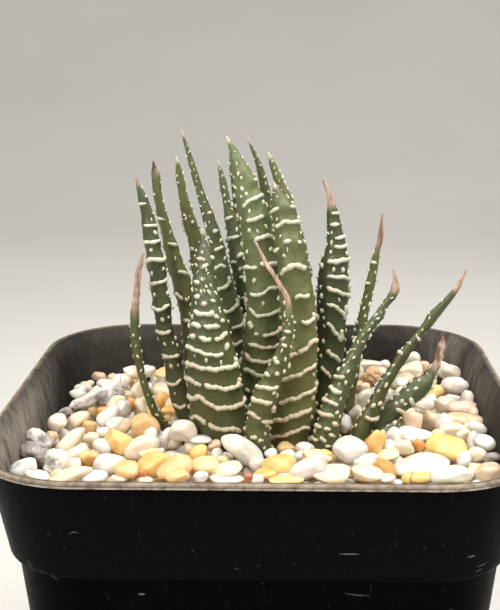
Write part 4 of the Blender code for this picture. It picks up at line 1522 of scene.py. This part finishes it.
fill_names = list(FILL_SHARES)
fill_odds = np.array(list(FILL_SHARES.values()), float)
fill_odds /= fill_odds.sum()
print(len(STONE_COLOURS), "stone colours in", len(FAMILIES), "families")

# %% [markdown]
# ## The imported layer
#
# Under the loose stones lies a packed layer that is never seen whole, so it is one relief: a
# sheet of low domes, one for each hidden stone, with a closed skirt below. Any gap between the
# loose stones shows more gravel.

# %% Where the wall stands
LAYER_HALF = 30.6        # half widths of rounded squares inside the wall, mm
FILL_HALF = 31.3
PLACED_HALF = 32.3


def edge_distance(x, y, half):
    """How far inside a rounded square a point is, in mm. Negative is outside."""
    corner = plan_corner(half)
    dx, dy = np.abs(x) - (half - corner), np.abs(y) - (half - corner)
    outside = np.hypot(np.maximum(dx, 0), np.maximum(dy, 0))
    return corner - outside - np.minimum(np.maximum(dx, dy), 0)


def square_grid(half, count):
    """A grid of count x count points, drawn in from a square to the rounded square."""
    u, v = np.meshgrid(np.linspace(-1, 1, count), np.linspace(-1, 1, count))
    u, v = u.ravel(), v.ravel()
    square = 1 / np.maximum(np.maximum(np.abs(u), np.abs(v)), 1e-9)
    length = np.maximum(np.hypot(u, v), 1e-9)
    low, high = np.zeros(len(u)), np.full(len(u), 2.0 * half)
    for _ in range(30):
        reach = (low + high) / 2
        inside = edge_distance(reach * u / length, reach * v / length, half) > 0
        low, high = np.where(inside, reach, low), np.where(inside, high, reach)
    scale = low / (square * length)
    return u * scale, v * scale


print("middle to wall:", round(float(edge_distance(0, 0, PLACED_HALF)), 1), "mm")

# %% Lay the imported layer
LAYER_GRID = 150
LAYER_FOOT = 54.2        # heights above the pot's foot, mm
DOME = 1.1
DOME_PITCH = 2.3
SKIRT_HALF = 28.7
SKIRT = [(1.0, 53.4), (SKIRT_HALF / LAYER_HALF, 52.0), (SKIRT_HALF / LAYER_HALF, 50.3)]


def dome_relief(x, y, draw):
    """The height and the tint at each point of a bed of domes."""
    side = np.arange(-LAYER_HALF, LAYER_HALF, DOME_PITCH)
    seeds = np.array([(a + (i % 2) * DOME_PITCH / 2, b) for i, b in enumerate(side) for a in side])
    seeds += draw.uniform(-0.65, 0.65, seeds.shape)
    radius = draw.uniform(1.35, 1.75, len(seeds))
    level = draw.uniform(-0.35, 0.35, len(seeds))
    gaps = np.hypot(x[:, None] - seeds[:, 0], y[:, None] - seeds[:, 1]) / radius
    mine = np.argmin(gaps, axis=1)
    near = gaps[np.arange(len(x)), mine]
    height = LAYER_FOOT + level[mine] + DOME * np.sqrt(np.clip(1 - near ** 2, 0, 1))
    names = draw.choice(fill_names, len(seeds), p=fill_odds)
    tints = np.array([STONE_COLOURS[name] for name in names])
    tints *= draw.uniform(0.85, 1.05, (len(seeds), 1))
    return height, tints[mine]


def lay_packed_layer():
    """The relief on a rounded square, with a closed skirt below it."""
    x, y = square_grid(LAYER_HALF, LAYER_GRID)
    z, tints = dome_relief(x, y, np.random.default_rng(8))
    index = np.arange(len(x)).reshape(LAYER_GRID, LAYER_GRID)
    loop = np.r_[index[0, :-1], index[:-1, -1], index[-1, :0:-1], index[:0:-1, 0]]
    count = len(loop)
    points = [np.column_stack([x, y, z])]
    points += [np.column_stack([x[loop] * shrink, y[loop] * shrink, np.full(count, height)])
               for shrink, height in SKIRT]
    faces = [(index[j, i], index[j, i + 1], index[j + 1, i + 1], index[j + 1, i])
             for j in range(LAYER_GRID - 1) for i in range(LAYER_GRID - 1)]
    levels = [loop] + [len(x) + k * count + np.arange(count) for k in range(len(SKIRT))]
    for upper, lower in zip(levels, levels[1:]):
        faces += [(upper[k], lower[k], lower[(k + 1) % count], upper[(k + 1) % count])
                  for k in range(count)]
    faces.append(tuple(reversed(levels[-1])))
    shade = np.vstack([tints] + [tints[loop]] * len(SKIRT))
    return np.vstack(points) + POT_FOOT, faces, {"tint": shade, "rough": np.zeros(len(shade))}


packed_layer = lay_packed_layer()
print("packed layer:", len(packed_layer[0]), "points")

# %% [markdown]
# ## The loose stones
#
# Those on the top are placed one by one, because their pattern is what the eye reads. The rest
# are dropped: a new stone tries many places and keeps the lowest one where it rests without
# touching the wall, a leaf or a placed stone. That is how gravel packs.

# %% The stones on top
# Each is x y z length breadth in tenths of a mm, then its tilt in degrees. A b marks a blocky
# stone and an r a rough one, and the others are smooth.
PLACED_STONES = {
    "white": """
    -132 -44 590 31 17 70; -83 -33 586 27 11 0; -76 -173 588 19 12 0; -44 -165 582 39 8 0;
    -2 -174 586 18 10 0; 38 -101 590 19 15 10; 67 -158 594 47 25 20; 123 -105 598 42 34 -30;
    140 -123 590 29 21 -10; 84 -130 588 16 12 0; 187 -31 590 25 24 60; 177 -64 588 19 17 0;
    167 -167 586 21 10 -10; 290 -162 582 31 8 0; 265 20 594 28 25 60; 301 178 596 35 24 0;
    314 272 598 33 25 0; 330 240 598 30 25 -10; 249 303 602 25 22 10; 201 295 592 19 17 30;
    338 102 598 27 17 80; 331 -7 594 26 17 -40; 318 -65 594 30 25 -20; 273 -109 588 21 19 60;
    -308 -167 596 35 22 20; -228 -19 590 20 14 0; -217 -81 592 25 17 -20; -199 -143 594 40 25 10;
    -288 -175 590 29 12 -15; -225 27 596 35 24 30; -212 9 592 29 17 10; -189 236 600 18 17 0;
    300 4 588 20 17 0; -267 -154 598 31 29 -20 r; -245 157 602 38 17 -8; -26 -95 597 58 25 -35;
    214 -136 592 66 23 8""",
    "stonegrey": """
    133 102 592 21 21 0; 316 -103 590 22 13 0; -162 181 596 30 19 0; -238 132 594 31 19 10 r""",
    "cream": """
    -122 -49 586 21 17 10; -93 -60 586 24 17 10; -40 -151 590 37 17 15; 35 -164 588 18 7 0;
    96 -165 590 52 18 3; 139 -161 590 39 18 -5; 277 -2 590 40 20 0; 279 104 592 31 20 0;
    241 261 594 40 33 20 b; 226 221 590 36 21 25; 152 233 594 36 21 75; 159 184 590 19 19 0;
    297 -96 590 27 19 0; -262 -81 596 47 22 45; -251 -106 590 35 24 20 b; -269 23 594 32 21 50;
    -241 -43 590 23 17 0; -163 -80 592 44 25 20; -245 -171 590 52 17 15; -149 -167 582 21 8 0;
    -185 86 594 26 18 -70; -215 215 598 21 21 40; -150 143 594 41 24 -20; -226 105 592 31 22 10;
    -201 157 592 25 21 60; -251 -143 592 29 16 10; -180 -174 586 21 8 0; 288 -21 590 23 17 0;
    199 -62 586 28 19 0; -295 1 596 26 24 -20""",
    "peach": """
    -64 -51 584 17 13 10; 297 -162 592 34 22 10 b; 312 35 592 47 23 -8; 266 290 592 22 17 0;
    -297 -36 590 17 16 60 b""",
    "amber": """
    -83 -94 588 26 20 30; 10 -162 588 29 14 10; 63 -106 588 12 11 0; 157 -70 596 33 25 62 b;
    -154 109 594 22 20 -50; -136 71 590 30 14 -10""",
    "pinkwhite": """
    -59 -98 588 19 15 80; 62 -86 590 25 23 -10; 53 -103 588 16 12 80; 249 105 590 27 18 0;
    172 293 596 44 17 0; 296 -57 592 30 17 80; -155 -31 592 20 18 40; -222 178 600 26 18 80;
    -121 51 588 21 15 0; -322 -169 594 16 16 0; -107 -32 596 33 30 0; 0 -126 585 24 18 -20""",
    "creamyellow": """
    -48 -114 586 18 15 -20; 79 -108 592 35 15 -5; 173 -97 588 30 18 10; 282 -151 590 23 16 75;
    324 186 592 22 21 0; -134 93 592 27 27 -30; -150 -93 590 30 12 5; 251 -21 588 20 17 20""",
    "peachamber": """
    -72 -145 590 37 26 12; -110 -166 596 42 27 20; -102 -194 598 28 14 0; 36 -173 586 39 10 0;
    -229 -126 594 23 21 60; -168 -17 596 40 36 -20; -171 -166 594 33 21 -5;
    -166 221 600 28 21 30 b""",
    "yellowamber": """
    -138 -137 592 48 33 10 b; -196 -72 596 37 30 -35 b""",
    "yellow": """
    -55 -152 586 13 12 0; 28 -145 594 45 24 -5; 91 -102 588 23 19 -20; 253 -78 594 57 31 -5 b;
    194 -163 586 16 14 60 b; 213 -164 588 31 14 0 b; 268 172 588 32 17 25""",
    "redbrown": """
    -13 -175 588 12 12 0""",
    "bluewhite": """
    15 -93 588 18 16 80; 151 -98 584 19 14 0; 219 -17 588 43 23 -5; 250 -166 592 49 22 5;
    335 158 598 28 25 -10; 158 134 592 28 22 20 b; 141 49 592 24 24 40 b; 120 20 590 22 22 45 b;
    -216 -173 588 34 12 5""",
    "ochre": """
    36 -65 586 24 17 0; 203 32 586 21 19 60; -252 5 590 23 19 0 b; -258 70 588 15 14 60;
    -210 192 592 15 13 0 b""",
    "orange": """
    168 -145 588 34 18 -28 b""",
    "orangebrown": """
    220 -59 588 18 15 -40 b; -199 90 594 24 14 85 b""",
    "tan": """
    302 74 598 42 21 3; 334 51 594 24 16 75; -201 2 590 28 20 20; -263 -170 588 18 13 20;
    -218 143 592 28 19 0 r; 218 30 592 29 30 80; 249 34 592 29 29 80""",
    "lilacwhite": """
    -310 -77 600 35 25 -15 r; -209 53 596 27 21 70 b; -206 83 590 23 14 80; -273 81 600 43 22 35 r;
    -246 113 598 34 25 35 r""",
    "lilac": """
    -292 39 596 19 16 30 r; -306 -112 592 37 30 -35 r""",
    "orangered": """
    -153 -165 588 13 12 0""",
    "clay": """
    176 222 596 29 28 40 r; 146 184 590 26 19 20 r""",
}


def read_stones():
    """One row for each placed stone: colour, centre, length, breadth, tilt, kind."""
    rows = []
    for name, text in PLACED_STONES.items():
        for entry in text.split(";"):
            numbers = entry.split()
            kind = numbers.pop() if numbers[-1] in "br" else "s"
            *tenths, tilt = map(float, numbers)
            x, y, z, length, breadth = (value / 10 for value in tenths)
            rows.append((name, POT_FOOT + (x, y, z), length, breadth, tilt, kind))
    return rows


placed = read_stones()
print(len(placed), "placed stones")

# %% [markdown]
# The table tells how long and broad a stone looks from the front. A flat-lying stone is taken as
# about three quarters as deep as it is long, and a steep one as deep as it is thick.

# %% Set out the axes of each placed stone
AWAY, DOWN = 0.93, 0.36                 # the way the eye meets the stones: a little downward
VIEW = np.array([0.0, AWAY, -DOWN])
STEEP = 30               # a stone tilted less than this lies flat, degrees
STONE_SIZE = 1.26        # the neighbours hide a rim of every stone, so it is larger than it looks


def placed_axes(length, breadth, tilt):
    """Three half axes as rows, for a stone seen with this length, breadth and tilt."""
    t = math.radians(tilt)
    along = np.array([math.cos(t), DOWN * math.sin(t), AWAY * math.sin(t)])
    if abs(tilt) < STEEP:
        depth = 0.38 * length
        height = math.sqrt(max(breadth ** 2 - (0.72 * depth) ** 2, 0.55 * breadth ** 2)) / 1.86
        deep = np.array([0.0, 1.0, 0.0])
        deep = deep - along * (along @ deep)
        deep /= np.linalg.norm(deep)
        return np.array([along * length / 2, deep * depth, np.cross(along, deep) * height])
    across = np.array([-math.sin(t), DOWN * math.cos(t), AWAY * math.cos(t)])
    depth = 0.5 * (0.55 * length + 0.45 * breadth)
    return np.array([along * length / 2, across * breadth / 2, VIEW * depth])


def push_inside(centre, axes, half=PLACED_HALF, nudge=0.05):
    """Moves a stone straight away from the wall until it only just touches it."""
    reach = np.linalg.norm(axes[:, :2], axis=0).mean() * 0.95
    x, y = centre[:2]
    slope = np.array([edge_distance(x + nudge, y, half) - edge_distance(x - nudge, y, half),
                      edge_distance(x, y + nudge, half) - edge_distance(x, y - nudge, half)])
    slope /= max(np.hypot(*slope), 1e-9)
    lack = max(reach - float(edge_distance(x, y, half)), 0.0)
    return centre + np.append(slope * lack, 0.0)


def clear_of_leaves(centre, axes):
    """Moves a stone towards the front, step by step, until no leaf point is inside it."""
    inverse = np.linalg.inv(axes)
    for _ in range(12):
        if (np.linalg.norm((leaf_points - centre) @ inverse, axis=1) >= 0.97).all():
            break
        centre = centre - VIEW * 0.25
    return centre


leaf_points = np.vstack([
    leaf.place(np.repeat(np.linspace(0, 0.6, 40), 20), np.tile(np.arange(20) * 18.0, 40))
    for leaf in leaves.values()])
among_stones = (leaf_points - POT_FOOT)[:, 2]
leaf_points = leaf_points[(among_stones > 52) & (among_stones < 63)]
stones = []      # (colour name, centre, axes, kind, is it a placed one)
for name, centre, length, breadth, tilt, kind in placed:
    axes = placed_axes(length, breadth, tilt) * STONE_SIZE
    stones.append((name, push_inside(clear_of_leaves(centre, axes), axes), axes, kind, True))
print(len(stones), "placed stones set clear of the leaves and the wall")

# %% [markdown]
# A dropped stone is treated as a flattened ball that comes to rest where it first meets a stone
# below. It may not lie over a placed stone, and its top may not pass the surface, which rises
# towards the wall and most of all at the back right.

# %% Drop the rest
MOST_DROPPED = 620
PATIENCE = 60            # give up after this many failed stones
TRIES = 70               # places that each stone tries
BED_FLOOR = 55.0         # heights above the pot's foot, mm
SURFACE = 59.1


def bed_surface(x, y, wall):
    """The height that no dropped stone may pass, where the wall is this far away."""
    rise = 0.6 * np.exp(-wall / 5) + 0.35 * np.sin(x * 0.31 + 1) * np.cos(y * 0.27)
    heap = 2.0 * np.exp(-((x - 24) ** 2 + (y - 22) ** 2) / 220)
    return SURFACE + rise + heap


def dropped_axes(half, draw):
    """Three half axes as rows, turned any way and leaning a little."""
    turn = draw.uniform(0, 2 * math.pi)
    lean = draw.uniform(-0.2, 0.2, 2)
    along = np.array([math.cos(turn), math.sin(turn), lean[0]])
    along /= np.linalg.norm(along)
    across = np.cross((lean[1] * math.sin(turn), -lean[1] * math.cos(turn), 1.0), along)
    across /= np.linalg.norm(across)
    return np.array([along * half[0], across * half[1], np.cross(along, across) * half[2]])


def drop_stones(stones, draw):
    """Adds stones until no place is left under the surface."""
    centres = [centre for _, centre, _, _, _ in stones]
    spread = [float(np.mean(np.hypot(axes[:, 0], axes[:, 1]).clip(0.3))) * 1.25
              for _, _, axes, _, _ in stones]
    tall = [float(np.linalg.norm(axes[:, 2])) for _, _, axes, _, _ in stones]
    fixed = len(stones)
    misses = 0
    while misses < PATIENCE and len(stones) < fixed + MOST_DROPPED:
        long_half = draw.uniform(2.5, 4.2) * (1 - 0.3 * misses / PATIENCE) / 2
        half = np.array([1.0, draw.uniform(0.66, 0.9), draw.uniform(0.5, 0.72)]) * long_half
        radius, height = half[:2].mean(), half[2] * 1.04
        x, y = draw.uniform(-31.5, 31.5, (2, TRIES))
        wall = edge_distance(x, y, FILL_HALF)
        where, radii, talls = np.array(centres), np.array(spread), np.array(tall)
        flat = np.hypot(x[:, None] - where[:, 0], y[:, None] - where[:, 1])
        touch = radii[None] + radius
        over = np.sqrt(np.clip(1 - (flat / touch) ** 2, 0, 1)) * (talls[None] + height)
        rest = np.where(over > 0, where[None, :, 2] + over * 0.94, 0)
        z = np.maximum(rest[:, fixed:].max(1, initial=0), POT_FOOT[2] + BED_FLOOR + height)
        above = z[:, None] - where[None, :fixed, 2]
        clash = (np.abs(above) < over[:, :fixed] * 0.86) | (
            (above > 0) & (flat[:, :fixed] < touch[:, :fixed]))
        ok = (wall > radius * 1.02) & ~clash.any(1)
        ok &= z + height < POT_FOOT[2] + bed_surface(x, y, wall)
        for k in np.flatnonzero(ok):
            gap = (leaf_points - (x[k], y[k], z[k])) / (radius, radius, height)
            ok[k] = (gap ** 2).sum(1).min() > 1.0
        if not ok.any():
            misses += 1
            continue
        k = int(np.argmin(np.where(ok, z + 0.15 * draw.random(TRIES), 1e9)))
        axes = dropped_axes(half, draw)
        kind = draw.choice(["s", "s", "s", "b"])
        name = str(draw.choice(fill_names, p=fill_odds))
        centre = np.array([x[k], y[k], z[k]])
        stones.append((name, centre, axes, kind, False))
        centres.append(centre)
        spread.append(radius)
        tall.append(height)
    return stones


stones = drop_stones(stones, np.random.default_rng(21))
print(len(stones), "stones after the fill")

# %% [markdown]
# One stone starts as a sphere of small triangles. A power between round and square makes it
# blocky, a few soft cuts make the flats that tumbling leaves, and slow waves make it lopsided.

# %% Shape a stone
POWERS = {"s": (2.1, 2.7), "b": (3.2, 4.8), "r": (2.2, 2.8)}     # 2 is round, more is blocky
SHARPNESS = {"s": 13.0, "b": 20.0, "r": 14.0}    # how sudden a cut's edge is
CUTS = 7


def ball(level):
    """Directions evenly spread over a sphere, and the triangles between them."""
    shape = bmesh.new()
    bmesh.ops.create_icosphere(shape, subdivisions=level, radius=1.0)
    shape.verts.ensure_lookup_table()
    points = np.array([v.co for v in shape.verts])
    faces = [tuple(v.index for v in f.verts) for f in shape.faces]
    shape.free()
    return points / np.linalg.norm(points, axis=1, keepdims=True), faces


def shape_stone(axes, kind, level, draw):
    """Points of one stone round its own centre, its faces, and how pitted each point is."""
    ways, faces = balls[level]
    # All three powers are drawn each time, so that a stone's kind doesn't change its cuts.
    power = {key: draw.uniform(*span) for key, span in POWERS.items()}[kind]
    reach = (np.abs(ways) ** power).sum(1) ** (-1 / power)
    cuts = draw.normal(size=(CUTS, 3))
    cuts /= np.linalg.norm(cuts, axis=1, keepdims=True)
    depth = draw.uniform(0.68, 0.96, CUTS)
    sharp = SHARPNESS[kind]
    pull = (np.clip(ways @ cuts.T, 0, 1) / depth) ** sharp
    reach = (reach ** -sharp + pull.sum(1)) ** (-1 / sharp)
    seed = int(draw.integers(1 << 30))
    reach = reach * (1 + 0.07 * swell(ways, 2.2, seed))
    if kind == "r":
        pits = np.clip(swell(ways, 0.32, seed + 3) - 0.25, 0, 1)
        reach = reach * (1 + 0.05 * swell(ways, 0.7, seed + 1) + 0.05 * swell(ways, 0.3, seed + 2)
                         - 0.12 * pits)
    else:
        reach = reach * (1 + 0.008 * swell(ways, 0.6, seed + 1))
    shaped = ways * (reach / np.percentile(reach, 90))[:, None]
    pitted = np.clip((1 - reach / np.percentile(reach, 60)) * 6, 0, 1) * (kind == "r")
    return shaped @ axes, faces, pitted


balls = {level: ball(level) for level in (3, 4)}
print("a small stone has", len(balls[3][1]), "triangles, a large one", len(balls[4][1]))

# %% [markdown]
# Quartz is cloudy, so light goes in and comes out nearby, and scattering under the surface gives
# that soft look. Every stone carries its own tint, and the material only moves it: paler veins,
# darker blotches, tiny pits and a broken polish.

# %% Polished stone
STONE_FINISH = {      # vein colour, stain colour, how much stain
    "white": (colour(0.90, 0.89, 0.86), colour(0.80, 0.74, 0.66), 0.5),
    "cream": (colour(0.88, 0.84, 0.72), colour(0.84, 0.70, 0.50), 0.5),
    "yellow": (colour(0.85, 0.74, 0.45), colour(0.88, 0.66, 0.38), 0.7),
    "amber": (colour(0.82, 0.60, 0.30), colour(0.86, 0.60, 0.36), 0.7),
    "orange": (colour(0.78, 0.48, 0.22), colour(0.80, 0.48, 0.30), 0.8),
    "brown": (colour(0.72, 0.58, 0.42), colour(0.74, 0.58, 0.44), 0.8),
    "grey": (colour(0.62, 0.60, 0.58), colour(0.50, 0.46, 0.46), 0.9)}


def make_stone(name, vein, stain, blotch):
    material, tree, relief = start_material(f"{name} stone", 0.3, 0.00015)
    tint = add_node(tree, "ShaderNodeAttribute", attribute_name="tint")
    cloud = use_group(tree, patches, scale=420.0, fine=2600.0, share=0.3, seed=11.0)
    grain = use_group(tree, patches, scale=1500.0, fine=5200.0, share=0.5, seed=15.0)
    veins = use_group(tree, streaks, stretch=(300.0, 900.0, 500.0), low=0.52, high=0.66, seed=13.0)
    body = tinge(tree, tint.outputs["Color"], cloud["Mask"], blotch, stain, "MULTIPLY")
    body = tinge(tree, body, veins["Mask"], 0.4, vein)
    body = tinge(tree, body, grain["Mask"], 0.14, stain, "MULTIPLY")
    rough = plus(tree, uneven(tree, cloud["Grain"], 0.24, 0.44),
                 times(tree, read_attribute(tree, "rough"), 0.4))
    height = plus(tree, times(tree, cloud["Grain"], 0.7), times(tree, grain["Grain"], 0.5))
    return finish_material(material, relief, body, rough, height, Subsurface_Weight=0.55,
                           Subsurface_Radius=(1.0, 0.85, 0.6), Subsurface_Scale=0.0020)


stone_materials = {name: make_stone(name, *finish) for name, finish in STONE_FINISH.items()}
print(len(stone_materials), "stone materials")

# %% [markdown]
# Last, every stone gets its shape and its own tint, and joins the piece of its colour family.
# That piece replaces the family's single pebbles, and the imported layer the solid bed.

# %% Place every stone
TINT_TRIM = (0.97, 0.965, 0.99)         # a touch darker and less yellow than the table
LARGE_PLACED, LARGE_DROPPED = 1.55, 2.1      # half lengths from which a stone is large, mm

add_piece("gravel_layer", [packed_layer], stone_materials["cream"], ["gravel_bed"])
family_of = {name: family for family, names in FAMILIES.items() for name in names}
draw = np.random.default_rng(33)
loads = {family: [] for family in FAMILIES}
for name, centre, axes, kind, on_top in stones:
    large = np.linalg.norm(axes[0]) > (LARGE_PLACED if on_top else LARGE_DROPPED)
    points, faces, pitted = shape_stone(axes, kind, 4 if large or kind == "r" else 3, draw)
    tint = np.array(STONE_COLOURS[name]) * TINT_TRIM
    tint *= draw.uniform(0.88, 1.06) * draw.uniform(0.96, 1.03, 3)
    tint = tint.clip(0, 0.9) * (1 - 0.6 * pitted[:, None])
    loads[family_of[name]].append((points + centre, faces,
                                   {"tint": tint, "rough": np.full(len(points), kind == "r")}))
node_names = [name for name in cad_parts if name.startswith("pebble_")]
for family, parts in loads.items():
    stood_for = [name for name in node_names if name.startswith(f"pebble_{family}_")]
    print(family, len(parts), stood_for)
    add_piece(f"pebbles_{family}", parts, stone_materials[family], stood_for)

# %% Write the sizes and finish
print("pieces:", len(triangle_counts), "triangles:", sum(triangle_counts.values()))
